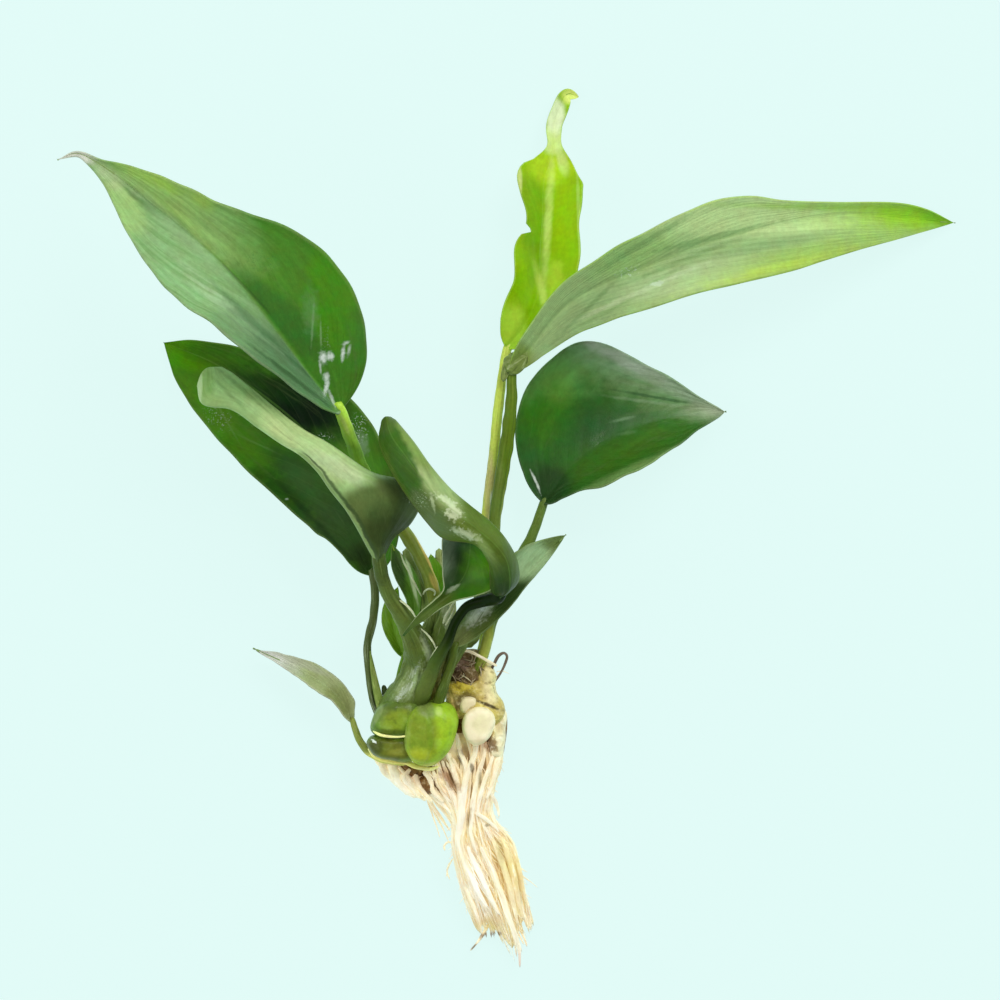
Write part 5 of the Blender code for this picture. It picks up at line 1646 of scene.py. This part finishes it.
    def spot(self, across: np.ndarray, t: np.ndarray, depth: np.ndarray) -> np.ndarray:
        """Points of the bundle.

        Args:
            across: Places from the bundle's left side, -1, to its right one, 1.
            t: Places along it.
            depth: Places from its underside, -1, to its crest, 1, at the middle.

        Returns:
            The points in mm.
        """
        columns = np.stack([Path([(*place, 0) for place in guide]).at(t) for guide in self.guides])
        number = (np.clip(across, -1, 1) + 1) / 2 * (len(self.guides) - 1)
        low = np.clip(number.astype(int), 0, len(self.guides) - 2)
        share, row = (number - low)[:, None], np.arange(len(t))
        flat = columns[low, row] * (1 - share) + columns[low + 1, row] * share
        crest, trough = steady(self.crest, t), steady(self.trough, t)
        height = (crest + trough) / 2 + (crest - trough) / 2 * depth
        return np.array(seen(*zip(flat[:, 0], flat[:, 1], height)))

    def strand(self, random: np.random.Generator, layer: Layer) -> np.ndarray:
        """Route of one strand, which keeps near its place in the bundle's oval.

        Args:
            random: The draws.
            layer: Its layer.

        Returns:
            Its points.
        """
        turn = random.uniform(-0.35, math.pi + 0.35)
        start, end = random.uniform(0.0, 0.12), 1 - 0.35 * random.uniform(0, 1) ** 2
        if layer is Layer.FINE:
            start = random.uniform(0.0, 0.6)
            end = min(start + random.uniform(0.25, 0.5), 1.0)
        t = np.linspace(start, end, 14)
        phase, waves = random.uniform(0, 2 * math.pi, 2), random.uniform(0.8, 2.5)
        swing = 0.09 if layer is Layer.MAIN else 0.14
        sway = swing * np.sin(2 * math.pi * waves * t[:, None] + phase)
        across = math.cos(turn) * 0.96 + sway[:, 0]
        depth = math.sin(turn) * (1 - 0.3 * random.uniform(0, 1) * (layer is Layer.MAIN)) + sway[:, 1] * 0.4
        return self.spot(across, t, depth)

    def crown(self, right: float, down: float) -> float:
        """Height of the bundle's top at a place of the picture."""
        t = (down - 745) / 225
        middle, half = (np.interp(down, self.levels, values) for values in (self.middle, self.half))
        bow = math.sqrt(max(0.12, 1 - ((right - middle) / half) ** 2))
        crest, trough = (steady(values, [np.clip(t, 0, 1)])[0] for values in (self.crest, self.trough))
        return float((crest + trough) / 2 + (crest - trough) / 2 * bow)

    def build(self) -> None:
        """Makes and dresses the bundle's layers and the single roots."""
        random = np.random.default_rng(self.seed)
        core = Skins("roots_core")
        core.add(90, 40, self.core)
        # glow is painted light that lifts the core's shade
        core.dress("root", ["root_mat"], FibreFinish(
            "roots_core_skin", "ecd8a6", fibres=9, runs=3, dark="be9e68", light="faeece", light_share=0.6,
            dark_share=0.35, level=8, glow=0.12, stains_and_shade=ROOTS_CORE_SKIN_STAINS_AND_SHADE))
        for layer in Layer:
            count, thick, thin, columns = layer.value
            skins = Skins("roots_" + layer.name.lower())
            for number in range(count):
                size = random.uniform(0.6, 1.15)
                skins.tube(
                    self.strand(random, layer),
                    (thick * size * 0.8, thick * size, thin * size * 1.4, thin * size), columns, 1.3,
                    tone=random.uniform(0, 1) ** 1.5, lumps=0.12, seed=number)
            skins.dress("root", (), PALE)
        bands = Skins("roots_bands")
        for number, (places, radius, tone) in enumerate(self.bands):
            route = seen(*((right, down, self.crown(right, down) + 0.25 * radius) for right, down in places))
            bands.tube(route, (radius * 0.4, radius * 0.7, radius * 0.65, radius * 0.2), 14, 0.9, tone,
                       0.55, 0.12, number)
        bands.dress("root", (), PALE)
        self.shoulder()
        self.fuzz()
        self.single_roots()

    def core(self, side: np.ndarray, t: np.ndarray) -> np.ndarray:
        """Points of the core, which closes at both ends."""
        taper = np.sqrt(np.clip(np.minimum(t, 1 - t) * 20, 0, 1))
        return self.spot(0.93 * np.sin(side * math.pi) * taper, 0.93 * t,
                         0.84 * np.cos(side * math.pi) * taper)

    def shoulder(self) -> None:
        """Makes the fleshy shoulder under the rhizome and the dark gap beside it."""
        skins = Skins("roots_shoulder")
        skins.pebble(self.flesh, 0.85, 1)
        skins.dress("root", (), PALE)
        # the gap's dark brown body stands in partly for shade deep in the gap between the roots
        gap = Skins("roots_gap")
        for number, lump in enumerate(self.gap):
            gap.pebble(lump, seed=number + 4)
        gap.dress("root_brown", (), FibreFinish(
            "roots_gap_skin", "846032", fibres=0, grain=1.3, relief=0.6, dark="422a16", dark_share=0.7,
            light="e8ce9e", light_share=0.5))

    def fuzz(self) -> None:
        """Makes the finest hairs, which bend a little off the bundle's sides and top."""
        random = np.random.default_rng(self.seed + 1)
        skins = Skins("roots_fuzz")
        bend = np.linspace(0, 1, 6) ** 2
        for number in range(self.hairs):
            start, turn = random.uniform(0.04, 0.84), random.uniform(-0.3, math.pi + 0.3)
            length, reach = random.uniform(0.03, 0.1), random.uniform(0.2, 2.2)
            lift = random.uniform(0.1, 0.8)
            across = math.cos(turn) * 0.97 + random.uniform(-0.2, 0.2) * bend
            route = self.spot(
                across, np.linspace(start, start + length, 6), np.full(6, 0.97 * math.sin(turn)))
            route[:, 0] += math.cos(turn) * reach * bend
            route[:, 2] += abs(math.sin(turn)) * lift * np.sin(bend * math.pi)
            skins.tube(route, (0.11, 0.09, 0.04), 6, 0.4, random.uniform(0, 0.8), seed=number)
        skins.dress("root", (), PALE)

    def single_roots(self) -> None:
        """Makes the free roots, the brown loop and the strand at the back branch."""
        loose = Skins("roots_loose")
        for number, (places, height, radius) in enumerate(self.loose):
            loose.tube(
                seen(*((right, down, height) for right, down in places)),
                (radius, radius * 0.9, radius * 0.4), 8, 0.5, 0.5, lumps=0.15, seed=number)
        loose.dress("root", (), PALE)
        loop = Skins("root_loop_brown")
        loop.tube(seen(*self.loop), (0.3, 0.4, 0.4, 0.32, 0.35), 10, 0.4, lumps=0.1, seed=4)
        loop.dress("root_brown", ["root_loop"], FibreFinish(
            "root_brown_skin", "746254", dark="34241e", dark_share=0.6, light="beaa96"))
        strand = Skins("root_strand_back")
        strand.tube(seen(*self.back), (0.28, 0.38, 0.36, 0.3), 10, 0.5, 0.6, lumps=0.1, seed=5)
        strand.dress("root", ["root_back_strand"], PALE)


# ---- studio


@dataclass
class Studio:
    """Pale floor, soft lights and the camera straight above."""

    view: View = VIEW
    floor_finish: FloorFinish = FloorFinish("floor_paint", "e2fbf7", 0.94)
    floor_radius: float = 3.2
    floor_drop: float = 0.6
    sky: float = 0.15
    boxes: tuple[tuple[str, Point, float, float], ...] = (
        ("key", (0.7, 1, 1.6), 1.1, 26), ("fill", (-1.3, -0.1, 1.3), 1.4, 12),
        ("spark", (-0.3, 0.9, 1.7), 0.16, 2.5))

    def build(self) -> None:
        """Makes the floor, the lights and the camera."""
        bpy.context.scene.view_settings.view_transform = "Standard"
        self.floor()
        self.world()
        for box in self.boxes:
            self.softbox(*box)
        self.camera()

    def floor(self) -> None:
        """Makes a wide floor that turns up at its rim."""
        bm = bmesh.new()
        bmesh.ops.create_circle(bm, cap_ends=True, segments=96, radius=self.floor_radius)
        rim = list(bm.edges)
        for step in range(10):
            angle = math.radians(9 * (step + 1))
            made = bmesh.ops.extrude_edge_only(bm, edges=rim)["geom"]
            verts = [part for part in made if isinstance(part, bmesh.types.BMVert)]
            rim = [part for part in made if isinstance(part, bmesh.types.BMEdge)
                   and all(v in verts for v in part.verts)]
            grow = 1 + 0.16 * math.cos(angle) / (self.floor_radius + step * 0.1)
            bmesh.ops.scale(bm, vec=(grow, grow, 1), verts=verts)
            bmesh.ops.translate(bm, vec=(0, 0, 0.32 * math.sin(angle)), verts=verts)
        bmesh.ops.translate(bm, vec=(0, 0, -self.floor_drop * MM), verts=bm.verts)
        floor = link("floor", bm)
        floor.data.materials.append(self.floor_finish.material())

    def world(self) -> None:
        """Lights everything evenly from all round."""
        world = bpy.data.worlds.new("studio")
        bpy.context.scene.world = world
        world.use_nodes = True
        background = world.node_tree.nodes["Background"]
        background.inputs["Color"].default_value = paint("f6fafa")
        background.inputs["Strength"].default_value = self.sky

    def softbox(self, name: str, place: Point, size: float, power: float) -> None:
        """Adds a square soft light that looks at the plant.

        Args:
            name: Its name.
            place: Where it stands, in metres.
            size: Its side in metres.
            power: Its power in watts.
        """
        light = bpy.data.lights.new(name, "AREA")
        light.size, light.energy = size, power
        lamp = bpy.data.objects.new(name, light)
        lamp.location = place
        lamp.rotation_euler = (-Vector(place)).to_track_quat("-Z", "Y").to_euler()
        bpy.context.scene.collection.objects.link(lamp)

    def camera(self) -> None:
        """Puts the camera straight above, at the distance that gives the picture its scale."""
        data = bpy.data.cameras.new("camera")
        data.lens, data.sensor_width = self.view.lens, self.view.sensor
        data.clip_start, data.clip_end = 0.1, 20
        camera = bpy.data.objects.new("camera", data)
        camera.location = Vector((*self.view.aim, self.view.away)) * MM
        bpy.context.scene.collection.objects.link(camera)
        bpy.context.scene.camera = camera


def main() -> None:
    """Builds the plant and the studio."""
    logging.basicConfig(level=logging.INFO)
    for assembly in (Foliage(), Rhizome(), Roots(), Studio()):
        assembly.build()
        LOG.info("%s is built", type(assembly).__name__)


if __name__ == "__main__":
    main()
